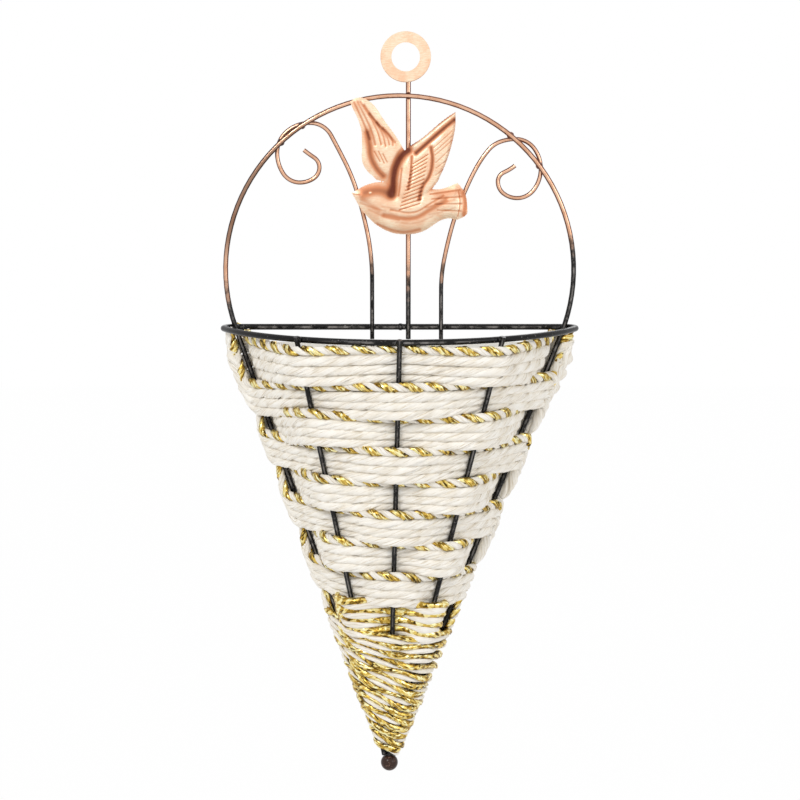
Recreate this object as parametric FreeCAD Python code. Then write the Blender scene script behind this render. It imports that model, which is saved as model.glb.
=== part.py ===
import FreeCAD, Part
import math
import os

# Wall-hung flower basket: a welded wire frame, woven with paper cord into half a cone.
# Millimetres. The origin is the centre of the hanging ring's hole.
# +Z is up, +Y points at the wall, and +X is the right-hand side as seen from the front.

# Hanging ring
RING_OUTER_D = 30.0
RING_HOLE_D = 17.0
RING_THICK = 3.0
RING_EDGE = 0.4
STEM_LAP = 5.5            # how far the stem's end reaches up behind the ring

# Wires
FRAME_WIRE_D = 3.0
SCROLL_WIRE_D = 2.6
RIM_WIRE_D = 3.6
WELD_GAP = 0.08           # between two wires that a weld joins
WELD_D = 4.4
TIP_WELD_BITE = 0.6       # how far the weld over the ball reaches into the outer rib ends

# Back frame: a round arch with two straight legs tangent to it
ARCH_R = 104.8
ARCH_X = -3.6             # the basket's middle, a little left of the ring
ARCH_DROP = 22.8          # top of the arch below the ring's centre

# Tip
TIP_X = -10.0             # the point leans left of the basket's middle
TIP_DROP = 433.5          # ball's centre below the ring's centre
BALL_D = 10.6
RIB_END_GAP = 0.2         # between neighbouring wire ends in the bundle over the ball
BALL_SEAT_GAP = 0.2       # between the bundle and the ball

# Rim hoop
RIM_BELOW_ARCH = 34.1     # hoop's centreline below the arch's centre
RIM_DEPTH = 79.0          # back bar to front bow, on the wire's centreline
RIM_BEND_R = 7.0
RIM_JOINT_GAP = 0.3       # between the hoop's two ends, butted together beside the stem

# Ribs
RIB_ANGLE = 30.0          # side ribs round the bow, from the front
RIB_STAND = 2.0           # rib's top above the hoop's centreline

# Hanger
STEM_X = 1.6
LEG_LAP = 7.0             # hanger wires' lower ends below the back bar's centreline

# Scroll wires: points (x, z) and headings in degrees, 90 is up and 180 is left
# A stem's points are measured from the back bar below the ring, a curl's from its place on the arch
SCROLL_LEFT_PLACE = 127.9              # degrees round the arch from its right-hand side
SCROLL_LEFT_STEM = ((-20.2, 28.7, 90.0), (-23.3, 58.7, 102.0))
SCROLL_LEFT_CURL = (
    (31.1, -16.2, 117.0), (11.0, 5.9, 180.0), (-9.0, -12.1, 270.0),
    (4.6, -29.6, 360.0), (16.3, -20.6, 450.0), (7.0, -10.2, 502.0),
)
SCROLL_LEFT_WELDS = (6.0, -6.6)        # crossings with the arch, beside the curl's place
SCROLL_RIGHT_PLACE = 44.6
SCROLL_RIGHT_STEM = ((21.4, 22.7, 90.0), (27.3, 58.7, 75.0))
SCROLL_RIGHT_CURL = (
    (-32.4, -19.0, 65.0), (-21.4, -1.1, 50.0), (-5.2, 5.4, 0.0), (10.0, -12.5, -90.0),
    (-4.1, -29.8, -180.0), (-15.7, -20.0, -270.0), (-5.4, -10.4, -322.0),
)
SCROLL_RIGHT_WELDS = (-8.4, 9.0)

# Weave
CORD_D = 4.55
CORD_GAP = 0.4            # from cord to cord down a row
TOP_ROW_GAP = 0.95        # the same in the top row, which lies looser
FIRST_CORD_GAP = 0.6      # from the hoop to the first cord
CORDS_IN_ROW = 4          # one gold cord on top of three cream ones
ROW_COUNT = 8
ROW_TILT = 6.0            # lowest row runs down to the right; the rows above it tilt less
CORD_CLEARANCE = 0.25     # between a cord and a rib
TURN_BULGE = 1.2          # extra room where a row turns back round a leg
LEG_INNER_ANGLE = 105.0   # side on which an odd row passes within the left leg, from the front
LEG_END_ANGLE = 150.0     # side on which an even row ends behind the right leg, from the front

# Tip winding
WINDING_CORD_D = 4.2
WINDING_GAP = 0.65        # from turn to turn
WINDING_TILT = 7.0
WINDING_START_GAP = 3.0   # last woven cord to the first turn
WINDING_END_ROOM = 9.0    # bare wire left over the ball, at least
WINDING_SIDE_ANGLE = 40.0 # side on which the winding passes the side ribs, from the front
GAP_SAMPLE = 2.0          # spacing of the points that the winding's gap is measured on

# Liner
LINER_WALL = 1.2
LINER_CLEARANCE = 0.4
LINER_TOP_GAP = 1.5       # below the hanger wires' lower ends
LINER_HEIGHT = 132.0
LINER_CORNER_ROOM = 1.5   # for the cords that swing in from the legs

# Bird plate: outlines (x, z) relative to the bird's middle
BIRD_X = 0.0
BIRD_Z = -76.0
SHEET_THICK = 0.9
WING_RAISE = 1.6          # near wing above the body
BODY_CROWN = 3.4
FAR_WING_CROWN = 1.6
NEAR_WING_CROWN = 2.2
FAR_WING = (
    ((-33.2, 49.5), (-29.5, 51.8), (-23.6, 51.2), (-12.0, 37.7), (-1.0, 21.1), (4.0, 8.0)),
    ((4.0, 8.0), (-8.0, 2.0), (-17.7, 3.3)),
    ((-17.7, 3.3), (-25.4, 12.5), (-26.0, 24.1), (-26.6, 33.5), (-33.2, 49.5)),
)
BODY = (
    ((-32.4, -4.4), (-21.9, 0.9), (-14.0, 2.0), (-4.0, 0.0), (8.0, -0.5), (19.7, -2.3), (31.2, 1.5)),
    ((31.2, 1.5), (35.4, -4.4), (36.9, -13.4), (36.7, -17.0), (31.3, -20.5)),
    ((31.3, -20.5), (24.1, -19.9), (9.8, -27.7), (-0.4, -29.2), (-11.4, -27.1), (-24.3, -17.2),
     (-32.4, -4.4)),
)
NEAR_WING = (
    ((29.6, 43.6), (24.0, 40.0), (9.7, 28.2), (-0.4, 20.8), (-8.2, 7.5), (-8.0, -8.0)),
    ((-8.0, -8.0), (2.0, -11.5), (12.0, -6.0), (19.1, 2.1)),
    ((19.1, 2.1), (24.5, 14.6), (27.4, 24.1), (29.6, 35.6), (29.6, 43.6)),
)
CROWN_SHARE = 0.55        # a raised form's top outline as a share of its base

# Heights and places that follow from the sizes above
wire_r = FRAME_WIRE_D / 2
rim_r = RIM_WIRE_D / 2
cord_r = CORD_D / 2
ball_r = BALL_D / 2
arch_z = -ARCH_DROP - ARCH_R
rim_z = arch_z - RIM_BELOW_ARCH
ball_z = -TIP_DROP
bar_y = wire_r + rim_r + WELD_GAP
leg_end_z = rim_z - LEG_LAP
rib_end_z = ball_z + ball_r + BALL_SEAT_GAP
bundle_step = FRAME_WIRE_D + RIB_END_GAP
bundle_depth = bundle_step * math.sin(math.pi / 3)
ball_y = -bundle_depth / 2
rim_joint_x = STEM_X - WELD_D - RIM_JOINT_GAP
cord_step = CORD_D + CORD_GAP
top_row_step = CORD_D + TOP_ROW_GAP
first_drop = rim_r + FIRST_CORD_GAP + cord_r
last_drop = first_drop + CORDS_IN_ROW * (top_row_step + ROW_COUNT * cord_step) - cord_step
winding_pitch = WINDING_CORD_D + WINDING_GAP
winding_drop = last_drop + cord_r + WINDING_START_GAP + WINDING_CORD_D / 2
winding_turns = int((rim_z - rib_end_z - WINDING_END_ROOM - winding_drop) / winding_pitch)


def vec(x, y, z):
    return FreeCAD.Vector(x, y, z)


def plan(angle):
    """Level direction at an angle from the front, positive towards the right."""
    turn = math.radians(angle)
    return vec(math.sin(turn), -math.cos(turn), 0)


def along(angle):
    """Level heading of a cord that passes the front from left to right."""
    turn = math.radians(angle)
    return vec(math.cos(turn), math.sin(turn), 0)


def unit(direction):
    return direction * (1 / direction.Length)


def arc_from(start, heading, end):
    """Edge that leaves start along heading and ends at end: an arc, or a line if they agree."""
    chord = end - start
    ahead = chord.dot(heading)
    side = heading - chord * (ahead / chord.Length**2)
    if side.Length < 1e-6:
        return Part.LineSegment(start, end).toShape()
    half_turn = math.acos(max(-1.0, min(1.0, ahead / chord.Length)))
    rise = chord.Length / 2 * math.tan(half_turn / 2)
    middle = start + chord * 0.5 + unit(side) * rise
    return Part.Arc(start, middle, end).toShape()


def biarc(first, second):
    """Two tangent arcs from one knot to the next; a knot is a point and a unit heading."""
    start, leave = first
    end, arrive = second
    span = end - start
    both = leave + arrive
    bend = 2 * (1 - leave.dot(arrive))
    if bend < 1e-9:
        reach = span.dot(span) / (2 * span.dot(both))
    else:
        root = math.sqrt(span.dot(both)**2 + bend * span.dot(span))
        reach = (root - span.dot(both)) / bend
    middle = (start + leave * reach + end - arrive * reach) * 0.5
    back = arc_from(end, arrive * -1, middle)
    return [arc_from(start, leave, middle), back]


def smooth_path(knots):
    edges = []
    for first, second in zip(knots, knots[1:]):
        straight = unit(second[0] - first[0])
        if straight.dot(first[1]) > 1 - 1e-9 and straight.dot(second[1]) > 1 - 1e-9:
            edges.append(Part.LineSegment(first[0], second[0]).toShape())
        else:
            edges += biarc(first, second)
    return Part.Wire(edges)


def tube(path, start, heading, diameter, name):
    """Round wire or cord along a smooth path, with its volume set against section times length."""
    profile = Part.Wire([Part.Circle(start, heading, diameter / 2).toShape()])
    solid = path.makePipeShell([profile], True, False)
    expected = math.pi * diameter**2 / 4 * path.Length
    print(f"{name}: length {path.Length:.1f}, volume {solid.Volume / expected:.4f} of section times length")
    return solid


def cord(knots, diameter, name):
    return tube(smooth_path(knots), knots[0][0], knots[0][1], diameter, name)


def rod(start, end, diameter):
    axis = end - start
    return Part.makeCylinder(diameter / 2, axis.Length, start, axis)


def bead(at):
    return Part.makeSphere(WELD_D / 2, at)


def save(shape, name):
    shape.exportStep(f"parts/{name}.step")


# Uprights: each is its top and its lower end on the centreline

def leg_touch(end_x, side):
    """Point where a straight line from a leg's end touches the arch."""
    dx = end_x - ARCH_X
    dz = rib_end_z - arch_z
    away = math.hypot(dx, dz)
    direction = math.atan2(dz, dx) + side * math.acos(ARCH_R / away)
    return vec(ARCH_X + ARCH_R * math.cos(direction), 0, arch_z + ARCH_R * math.sin(direction))


left_end = vec(TIP_X - bundle_step / 2, 0, rib_end_z)
right_end = vec(TIP_X + bundle_step / 2, 0, rib_end_z)
left_touch = leg_touch(left_end.x, -1)
right_touch = leg_touch(right_end.x, 1)


def upright_at(upright, z):
    upper, lower = upright
    return upper + (lower - upper) * ((upper.z - z) / (upper.z - lower.z))


LEFT_LEG = (left_touch, left_end)
RIGHT_LEG = (right_touch, right_end)


def frame_at_rim(leg, side):
    """Point where the hoop meets the back frame: on the leg, or on the arch where the leg starts lower."""
    if leg[0].z >= rim_z:
        return upright_at(leg, rim_z)
    return vec(ARCH_X + side * math.sqrt(ARCH_R**2 - RIM_BELOW_ARCH**2), 0, rim_z)


left_corner = frame_at_rim(LEFT_LEG, -1)
right_corner = frame_at_rim(RIGHT_LEG, 1)

# Rim hoop: the bow is tangent to both corner bends and to the front
bend_y = bar_y - RIM_BEND_R
middle_x = (left_corner.x + right_corner.x) / 2
half_bar = (right_corner.x - left_corner.x) / 2
bend_depth = RIM_DEPTH - RIM_BEND_R
bow_r = (half_bar**2 + bend_depth**2 - RIM_BEND_R**2) / (2 * (bend_depth - RIM_BEND_R))
bow_y = bar_y - RIM_DEPTH + bow_r


def rib(angle, place):
    """Front rib outside the bow at an angle; place counts its end along the bundle's front."""
    lower = vec(TIP_X + place * bundle_step, -bundle_depth, rib_end_z)
    outward = plan(angle)
    on_bow = vec(middle_x, bow_y, rim_z) + outward * bow_r
    run = (on_bow - lower).dot(outward) + rim_r + wire_r
    height = rim_z - rib_end_z
    lean = math.hypot(run, height) / height
    at_rim = on_bow + outward * ((rim_r + wire_r + WELD_GAP) * lean)
    upper = at_rim + (at_rim - lower) * (RIB_STAND / height)
    return upper, lower


LEFT_RIB = rib(-RIB_ANGLE, -1)
CENTRE_RIB = rib(0, 0)
RIGHT_RIB = rib(RIB_ANGLE, 1)


def beside(upright, drop, angle, turn, tilt, centre_x, extra=0.0, cord_d=CORD_D):
    """Knot of a cord that passes an upright on the side at angle.

    turn is 1 where the cord keeps the upright on its inner side and -1 where it passes within.
    """
    upper, lower = upright
    lean = (lower - upper).Length / (upper.z - lower.z)
    reach = (wire_r + cord_d / 2 + CORD_CLEARANCE) * lean + extra
    rise = math.tan(math.radians(tilt))
    level = upright_at(upright, rim_z - drop)
    z = rim_z - drop - rise * (level.x + plan(angle).x * reach - centre_x)
    point = upright_at(upright, z) + plan(angle) * reach
    heading = along(angle) * turn
    return point, unit(vec(heading.x, heading.y, -rise * heading.x))


def row_knots(drop, row):
    """Knots of one cord of a woven row: odd rows pass behind the legs, even rows in front."""
    tilt = ROW_TILT * (drop / last_drop)**2

    def at(upright, angle, turn, extra=0.0):
        return beside(upright, drop, angle, turn, tilt, ARCH_X, extra)

    if row % 2:
        return [
            at(LEFT_LEG, -90, -1, TURN_BULGE), at(LEFT_LEG, 180, -1), at(LEFT_LEG, LEG_INNER_ANGLE, -1),
            at(LEFT_RIB, -RIB_ANGLE, 1), at(CENTRE_RIB, 180, -1), at(RIGHT_RIB, RIB_ANGLE, 1),
            at(RIGHT_LEG, -LEG_INNER_ANGLE, -1), at(RIGHT_LEG, 180, -1), at(RIGHT_LEG, 90, -1, TURN_BULGE),
        ]
    return [
        at(LEFT_LEG, -LEG_END_ANGLE, 1), at(LEFT_LEG, -90, 1, TURN_BULGE),
        at(LEFT_RIB, 180 - RIB_ANGLE, -1), at(CENTRE_RIB, 0, 1), at(RIGHT_RIB, 180 + RIB_ANGLE, -1),
        at(RIGHT_LEG, 90, 1, TURN_BULGE), at(RIGHT_LEG, LEG_END_ANGLE, 1),
    ]


def cord_drop(row, place):
    """Drop of a cord's centre below the hoop; place counts down the row from 0."""
    if row == 1:
        return first_drop + place * top_row_step
    steps = (row - 2) * CORDS_IN_ROW + place
    return first_drop + CORDS_IN_ROW * top_row_step + steps * cord_step


def row_cords(row, first, last, name):
    solids = []
    for place in range(first, last):
        solids.append(cord(row_knots(cord_drop(row, place), row), CORD_D, f"{name} {place}"))
    return solids


def winding_knots():
    """Knots of the cord wound round the point, starting behind the right-hand leg."""
    side = WINDING_SIDE_ANGLE
    # Each stop is an upright, the side it is passed on and the share of the turn reached there
    stops = (
        (RIGHT_LEG, 180, 0.0), (LEFT_LEG, -180, 0.30), (LEFT_LEG, -90, 0.38), (LEFT_RIB, -side, 0.54),
        (CENTRE_RIB, 0, 0.69), (RIGHT_RIB, side, 0.84), (RIGHT_LEG, 90, 0.92),
    )
    points = []
    for turn in range(winding_turns + 1):
        for upright, angle, share in stops:
            if turn == winding_turns and share > stops[1][2]:
                break
            drop = winding_drop + (turn + share) * winding_pitch
            points.append(beside(upright, drop, angle, 1, WINDING_TILT, TIP_X, 0, WINDING_CORD_D))
    knots = []
    for before, (point, heading), after in zip(points[:1] + points, points, points[1:] + points[-1:]):
        travel = after[0] - before[0]
        fall = travel.z / math.hypot(travel.x, travel.y)
        knots.append((point, unit(vec(heading.x, heading.y, fall))))
    # Both ends leave along the straight run behind the legs
    for outer, inner in ((0, 1), (-2, -1)):
        run = unit(knots[inner][0] - knots[outer][0])
        knots[outer] = (knots[outer][0], run)
        knots[inner] = (knots[inner][0], run)
    return knots


def least_gap(path, diameter):
    """Least gap of the tube to itself, measured on points along the path."""
    points = path.discretize(Distance=GAP_SAMPLE)
    apart = int(4 * diameter / GAP_SAMPLE)
    nearest = []
    for index, point in enumerate(points):
        nearest += [(other - point).Length for other in points[index + apart:]]
    return min(nearest) - diameter


# Back frame, hanger and scrolls

def make_back_frame():
    top = vec(ARCH_X, 0, arch_z + ARCH_R)
    path = Part.Wire([
        Part.LineSegment(left_end, left_touch).toShape(),
        Part.Arc(left_touch, top, right_touch).toShape(),
        Part.LineSegment(right_touch, right_end).toShape(),
    ])
    return tube(path, left_end, left_touch - left_end, FRAME_WIRE_D, "back_frame")


def hanger_y(z, wire_d, arch_cross_z):
    """A hanger wire lies in front of the back bar and behind the arch."""
    at_bar = bar_y - rim_r - wire_d / 2 - WELD_GAP
    at_arch = wire_r + wire_d / 2 + WELD_GAP
    return at_bar + (at_arch - at_bar) * (z - rim_z) / (arch_cross_z - rim_z)


def arch_height(x):
    return arch_z + math.sqrt(ARCH_R**2 - (x - ARCH_X)**2)


stem_cross_z = arch_height(STEM_X)


def stem_point(z):
    return vec(STEM_X, hanger_y(z, FRAME_WIRE_D, stem_cross_z), z)


def arch_place(angle):
    turn = math.radians(angle)
    return ARCH_X + ARCH_R * math.cos(turn), arch_z + ARCH_R * math.sin(turn)


def weld_xs(place, offsets):
    return [arch_place(place)[0] + offset for offset in offsets]


def make_scroll(stem, curl, place, welds, name):
    cross_z = min(arch_height(x) for x in weld_xs(place, welds))
    place_x, place_z = arch_place(place)
    points = [(x, rim_z + z, heading) for x, z, heading in stem]
    points += [(place_x + x, place_z + z, heading) for x, z, heading in curl]
    slope = hanger_y(1, SCROLL_WIRE_D, cross_z) - hanger_y(0, SCROLL_WIRE_D, cross_z)
    knots = []
    for x, z, heading in points:
        turn = math.radians(heading)
        rise = math.sin(turn)
        knots.append((vec(x, hanger_y(z, SCROLL_WIRE_D, cross_z), z),
                      unit(vec(math.cos(turn), rise * slope, rise))))
    first = knots[0]
    foot = first[0] - first[1] * ((first[0].z - leg_end_z) / first[1].z)
    return cord([(foot, first[1])] + knots, SCROLL_WIRE_D, name)


def make_ring():
    ring = Part.makeCylinder(RING_OUTER_D / 2, RING_THICK, vec(0, RING_THICK / 2, 0), vec(0, -1, 0))
    hole = Part.makeCylinder(RING_HOLE_D / 2, RING_THICK, vec(0, RING_THICK / 2, 0), vec(0, -1, 0))
    rims = [edge for edge in ring.Edges if edge.Curve.TypeId == "Part::GeomCircle"]
    return ring.makeChamfer(RING_EDGE, rims).cut(hole)


def make_rim():
    left_bend = vec(left_corner.x, bend_y, rim_z)
    right_bend = vec(right_corner.x, bend_y, rim_z)
    centre = vec(middle_x, bow_y, rim_z)
    left_meet = centre + unit(left_bend - centre) * bow_r
    right_meet = centre + unit(right_bend - centre) * bow_r
    left_mid = left_bend + unit(unit(left_meet - left_bend) + vec(0, 1, 0)) * RIM_BEND_R
    right_mid = right_bend + unit(unit(right_meet - right_bend) + vec(0, 1, 0)) * RIM_BEND_R
    left_bar = left_bend + vec(0, RIM_BEND_R, 0)
    right_bar = right_bend + vec(0, RIM_BEND_R, 0)
    start = vec(rim_joint_x - RIM_JOINT_GAP / 2, bar_y, rim_z)
    end = vec(rim_joint_x + RIM_JOINT_GAP / 2, bar_y, rim_z)
    path = Part.Wire([
        Part.LineSegment(start, left_bar).toShape(),
        Part.Arc(left_bar, left_mid, left_meet).toShape(),
        Part.Arc(left_meet, centre + vec(0, -bow_r, 0), right_meet).toShape(),
        Part.Arc(right_meet, right_mid, right_bar).toShape(),
        Part.LineSegment(right_bar, end).toShape(),
    ])
    return tube(path, start, vec(-1, 0, 0), RIM_WIRE_D, "rim_hoop")


# Bird

def bird_outline(runs, y):
    """Closed outline of smooth runs that meet at corners."""
    edges = []
    for run in runs:
        curve = Part.BSplineCurve()
        curve.interpolate([vec(BIRD_X + x, y, BIRD_Z + z) for x, z in run])
        edges.append(curve.toShape())
    return Part.Wire(edges)


def raised_form(runs, back_y, thick, crown):
    """Pressed form: a flat base of the sheet's thickness and a crown that rises to the front."""
    base = bird_outline(runs, back_y)
    plate = Part.Face(base).extrude(vec(0, -thick, 0))
    lower = bird_outline(runs, back_y - thick)
    middle = Part.Face(lower).CenterOfMass
    upper = lower.copy()
    upper.scale(CROWN_SHARE, middle)
    upper.translate(vec(0, -crown, 0))
    return plate.fuse(Part.makeLoft([lower, upper], True, True))


def make_bird():
    back_y = -(wire_r + WELD_GAP)
    far_wing = raised_form(FAR_WING, back_y, SHEET_THICK, FAR_WING_CROWN)
    body = raised_form(BODY, back_y, SHEET_THICK, BODY_CROWN)
    near_wing = raised_form(NEAR_WING, back_y, SHEET_THICK + WING_RAISE, NEAR_WING_CROWN)
    return far_wing.multiFuse([body, near_wing]).removeSplitter()


# Liner

def liner_section(z, wall):
    """D-shaped outline of the liner at a height, drawn in by a wall."""
    aside = cord_r + LINER_CLEARANCE + LINER_CORNER_ROOM + wall
    left = beside(LEFT_LEG, rim_z - z, 90, -1, 0, 0)[0].x + aside
    right = beside(RIGHT_LEG, rim_z - z, -90, -1, 0, 0)[0].x - aside
    back = stem_point(leg_end_z).y - wire_r - LINER_CLEARANCE - wall
    inner_cord = beside(CENTRE_RIB, rim_z - z, 180, -1, 0, 0)[0].y + cord_r
    front = vec((left + right) / 2, inner_cord + LINER_CLEARANCE + wall, z)
    left_back = vec(left, back, z)
    right_back = vec(right, back, z)
    return Part.Wire([
        Part.Arc(left_back, front, right_back).toShape(),
        Part.LineSegment(right_back, left_back).toShape(),
    ])


def make_liner():
    top = leg_end_z - LINER_TOP_GAP
    bottom = top - LINER_HEIGHT
    outside = Part.makeLoft([liner_section(bottom, 0), liner_section(top, 0)], True, True)
    floor = bottom + LINER_WALL
    inside = Part.makeLoft([liner_section(floor, LINER_WALL), liner_section(top, LINER_WALL)], True, True)
    return outside.cut(inside)


# Welds

def make_welds():
    ring_y = (RING_THICK / 2 + stem_point(-RING_OUTER_D / 2).y - wire_r) / 2
    bird_back = -(wire_r + WELD_GAP)
    beads = [
        bead(vec(STEM_X, ring_y, -(RING_OUTER_D + RING_HOLE_D) / 4)),
        bead(vec(STEM_X, wire_r, stem_cross_z)),
        bead(vec(STEM_X, bar_y - rim_r, rim_z)),
        bead(vec(SCROLL_LEFT_STEM[0][0], bar_y - rim_r, rim_z)),
        bead(vec(SCROLL_RIGHT_STEM[0][0], bar_y - rim_r, rim_z)),
        bead(vec(left_corner.x, bar_y - rim_r, rim_z)),
        bead(vec(right_corner.x, bar_y - rim_r, rim_z)),
        bead(vec(rim_joint_x, bar_y, rim_z)),
        bead(vec(STEM_X, (bird_back + stem_point(BIRD_Z).y - wire_r) / 2, BIRD_Z)),
    ]
    left_xs = weld_xs(SCROLL_LEFT_PLACE, SCROLL_LEFT_WELDS)
    right_xs = weld_xs(SCROLL_RIGHT_PLACE, SCROLL_RIGHT_WELDS)
    for x in left_xs + right_xs:
        beads.append(bead(vec(x, wire_r, arch_height(x))))
    for angle in (-RIB_ANGLE, 0, RIB_ANGLE):
        beads.append(bead(vec(middle_x, bow_y, rim_z) + plan(angle) * (bow_r + rim_r)))
    tip_weld_r = math.hypot(bundle_step, ball_y) - wire_r + TIP_WELD_BITE
    beads.append(Part.makeSphere(tip_weld_r, vec(TIP_X, ball_y, rib_end_z)))
    return Part.makeCompound(beads)


os.makedirs("parts", exist_ok=True)

save(make_ring(), "hanging_ring")
save(rod(stem_point(leg_end_z), stem_point(-RING_OUTER_D / 2 + STEM_LAP), FRAME_WIRE_D), "hanger_stem")
save(make_back_frame(), "back_frame")
left_scroll = (SCROLL_LEFT_STEM, SCROLL_LEFT_CURL, SCROLL_LEFT_PLACE, SCROLL_LEFT_WELDS)
right_scroll = (SCROLL_RIGHT_STEM, SCROLL_RIGHT_CURL, SCROLL_RIGHT_PLACE, SCROLL_RIGHT_WELDS)
save(make_scroll(*left_scroll, "scroll_left"), "scroll_left")
save(make_scroll(*right_scroll, "scroll_right"), "scroll_right")
save(make_rim(), "rim_hoop")
save(rod(*LEFT_RIB, FRAME_WIRE_D), "rib_left")
save(rod(*CENTRE_RIB, FRAME_WIRE_D), "rib_centre")
save(rod(*RIGHT_RIB, FRAME_WIRE_D), "rib_right")
save(Part.makeSphere(ball_r, vec(TIP_X, ball_y, ball_z)), "tip_ball")
save(make_bird(), "bird_plate")
save(make_welds(), "weld_beads")
save(make_liner(), "liner")

for number in range(1, ROW_COUNT + 1):
    gold = row_cords(number, 0, 1, f"gold_cord_row_{number}")
    cream = row_cords(number, 1, CORDS_IN_ROW, f"cream_cords_row_{number}")
    save(Part.makeCompound(gold), f"gold_cord_row_{number}")
    save(Part.makeCompound(cream), f"cream_cords_row_{number}")

save(Part.makeCompound(row_cords(ROW_COUNT + 1, 0, CORDS_IN_ROW, "gold_cords_row_9")), "gold_cords_row_9")

winding = winding_knots()
winding_path = smooth_path(winding)
save(tube(winding_path, winding[0][0], winding[0][1], WINDING_CORD_D, "tip_winding"), "tip_winding")
print(f"tip_winding: least gap between turns {least_gap(winding_path, WINDING_CORD_D):.2f}")
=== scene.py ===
"""Hanging flower basket: finishes, woven paper ropes and the pressed bird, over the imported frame."""
import logging
import math
from dataclasses import dataclass
from enum import Enum

import bpy
import numpy as np
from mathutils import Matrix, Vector


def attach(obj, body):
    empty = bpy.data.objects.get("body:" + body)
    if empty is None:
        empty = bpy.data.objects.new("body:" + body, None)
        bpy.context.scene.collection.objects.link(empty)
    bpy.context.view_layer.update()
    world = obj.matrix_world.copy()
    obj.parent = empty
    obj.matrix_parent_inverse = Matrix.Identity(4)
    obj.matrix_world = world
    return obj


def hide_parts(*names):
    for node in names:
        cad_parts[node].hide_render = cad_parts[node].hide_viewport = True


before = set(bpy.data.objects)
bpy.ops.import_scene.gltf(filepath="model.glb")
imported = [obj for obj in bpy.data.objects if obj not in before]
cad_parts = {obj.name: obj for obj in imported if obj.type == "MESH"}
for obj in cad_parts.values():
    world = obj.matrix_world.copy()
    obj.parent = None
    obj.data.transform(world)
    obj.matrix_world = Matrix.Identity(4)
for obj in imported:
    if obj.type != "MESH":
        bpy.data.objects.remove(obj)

MM = 0.001
BASKET = "basket"
Colour = tuple[float, float, float, float]
Span = tuple[float, float]
Place = tuple[float, float, float]
Line = tuple[Span, ...]
Tap = tuple[bpy.types.Node, str | int]
Sockets = dict[str | int, object]
WHITE: Colour = (1.0, 1.0, 1.0, 1.0)
FAR_OFF = 1e9
TINY = 1e-9
# Creases of the paper: how much closer they lie round a ply than along it, and the share of the fine ones.
CREASE_ROUND = 1.6
FINE_CREASES = 0.35
# Wear of the metal: the noise that shows as speckle and as stain, and the scale of the grain.
SPECKLE_SPAN: Span = (0.6, 0.72)
STAIN_SPAN: Span = (0.4, 0.66)
GRAIN_SCALE = 1500.0
log = logging.getLogger("basket")


class Lay(Enum):
    """Which way a rope's plies turn along it."""

    RIGHT_HANDED = 1
    LEFT_HANDED = -1


class Pass(Enum):
    """Side on which a row passes an upright."""

    OVER = 1
    UNDER = -1


def srgb(red: float, green: float, blue: float) -> Colour:
    """Turn a colour of 0 to 255 into the linear colour that the shaders take.

    Args:
        red: red part, 0 to 255.
        green: green part, 0 to 255.
        blue: blue part, 0 to 255.

    Returns:
        The linear colour with full opacity.
    """
    parts = []
    for part in (red, green, blue):
        share = part / 255
        parts.append(share / 12.92 if share <= 0.04045 else ((share + 0.055) / 1.055) ** 2.4)
    return (parts[0], parts[1], parts[2], 1.0)


def ease(share: float | np.ndarray) -> float | np.ndarray:
    """Bend a share of 0 to 1 so that it starts and ends softly."""
    return share * share * (3 - 2 * share)


def level_direction(angle: float) -> Vector:
    """Level direction at an angle in degrees from the front, positive towards the right."""
    turn = math.radians(angle)
    return Vector((math.sin(turn), -math.cos(turn), 0.0))


def line_points(points: list[Vector], per_span: int, through: bool) -> list[Vector]:
    """Read points along a smooth line.

    Args:
        points: control points of the line.
        per_span: how many points are read for each control point.
        through: whether the line passes through each control point, or only bends towards it.

    Returns:
        Points along the line, from its first control point to its last.
    """
    curve = bpy.data.curves.new("route", "CURVE")
    curve.dimensions = "3D"
    curve.resolution_u = per_span
    spline = curve.splines.new("BEZIER" if through else "NURBS")
    if through:
        spline.bezier_points.add(len(points) - 1)
        for control, point in zip(spline.bezier_points, points):
            control.co = point
            control.handle_left_type = "AUTO"
            control.handle_right_type = "AUTO"
    else:
        spline.points.add(len(points) - 1)
        for control, point in zip(spline.points, points):
            control.co = (point.x, point.y, point.z, 1.0)
        spline.order_u = 3
        spline.use_endpoint_u = True
    holder = bpy.data.objects.new("route", curve)
    mesh = bpy.data.meshes.new_from_object(holder)
    found = [vertex.co.copy() for vertex in mesh.vertices]
    bpy.data.meshes.remove(mesh)
    bpy.data.objects.remove(holder)
    bpy.data.curves.remove(curve)
    return found


def stand_for(piece: bpy.types.Object, node: str) -> None:
    """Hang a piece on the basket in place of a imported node.

    Args:
        piece: the new object.
        node: the node that it replaces.
    """
    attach(piece, BASKET)
    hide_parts(node)
    log.info("%s: %d faces", piece.name, len(piece.data.polygons))


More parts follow.
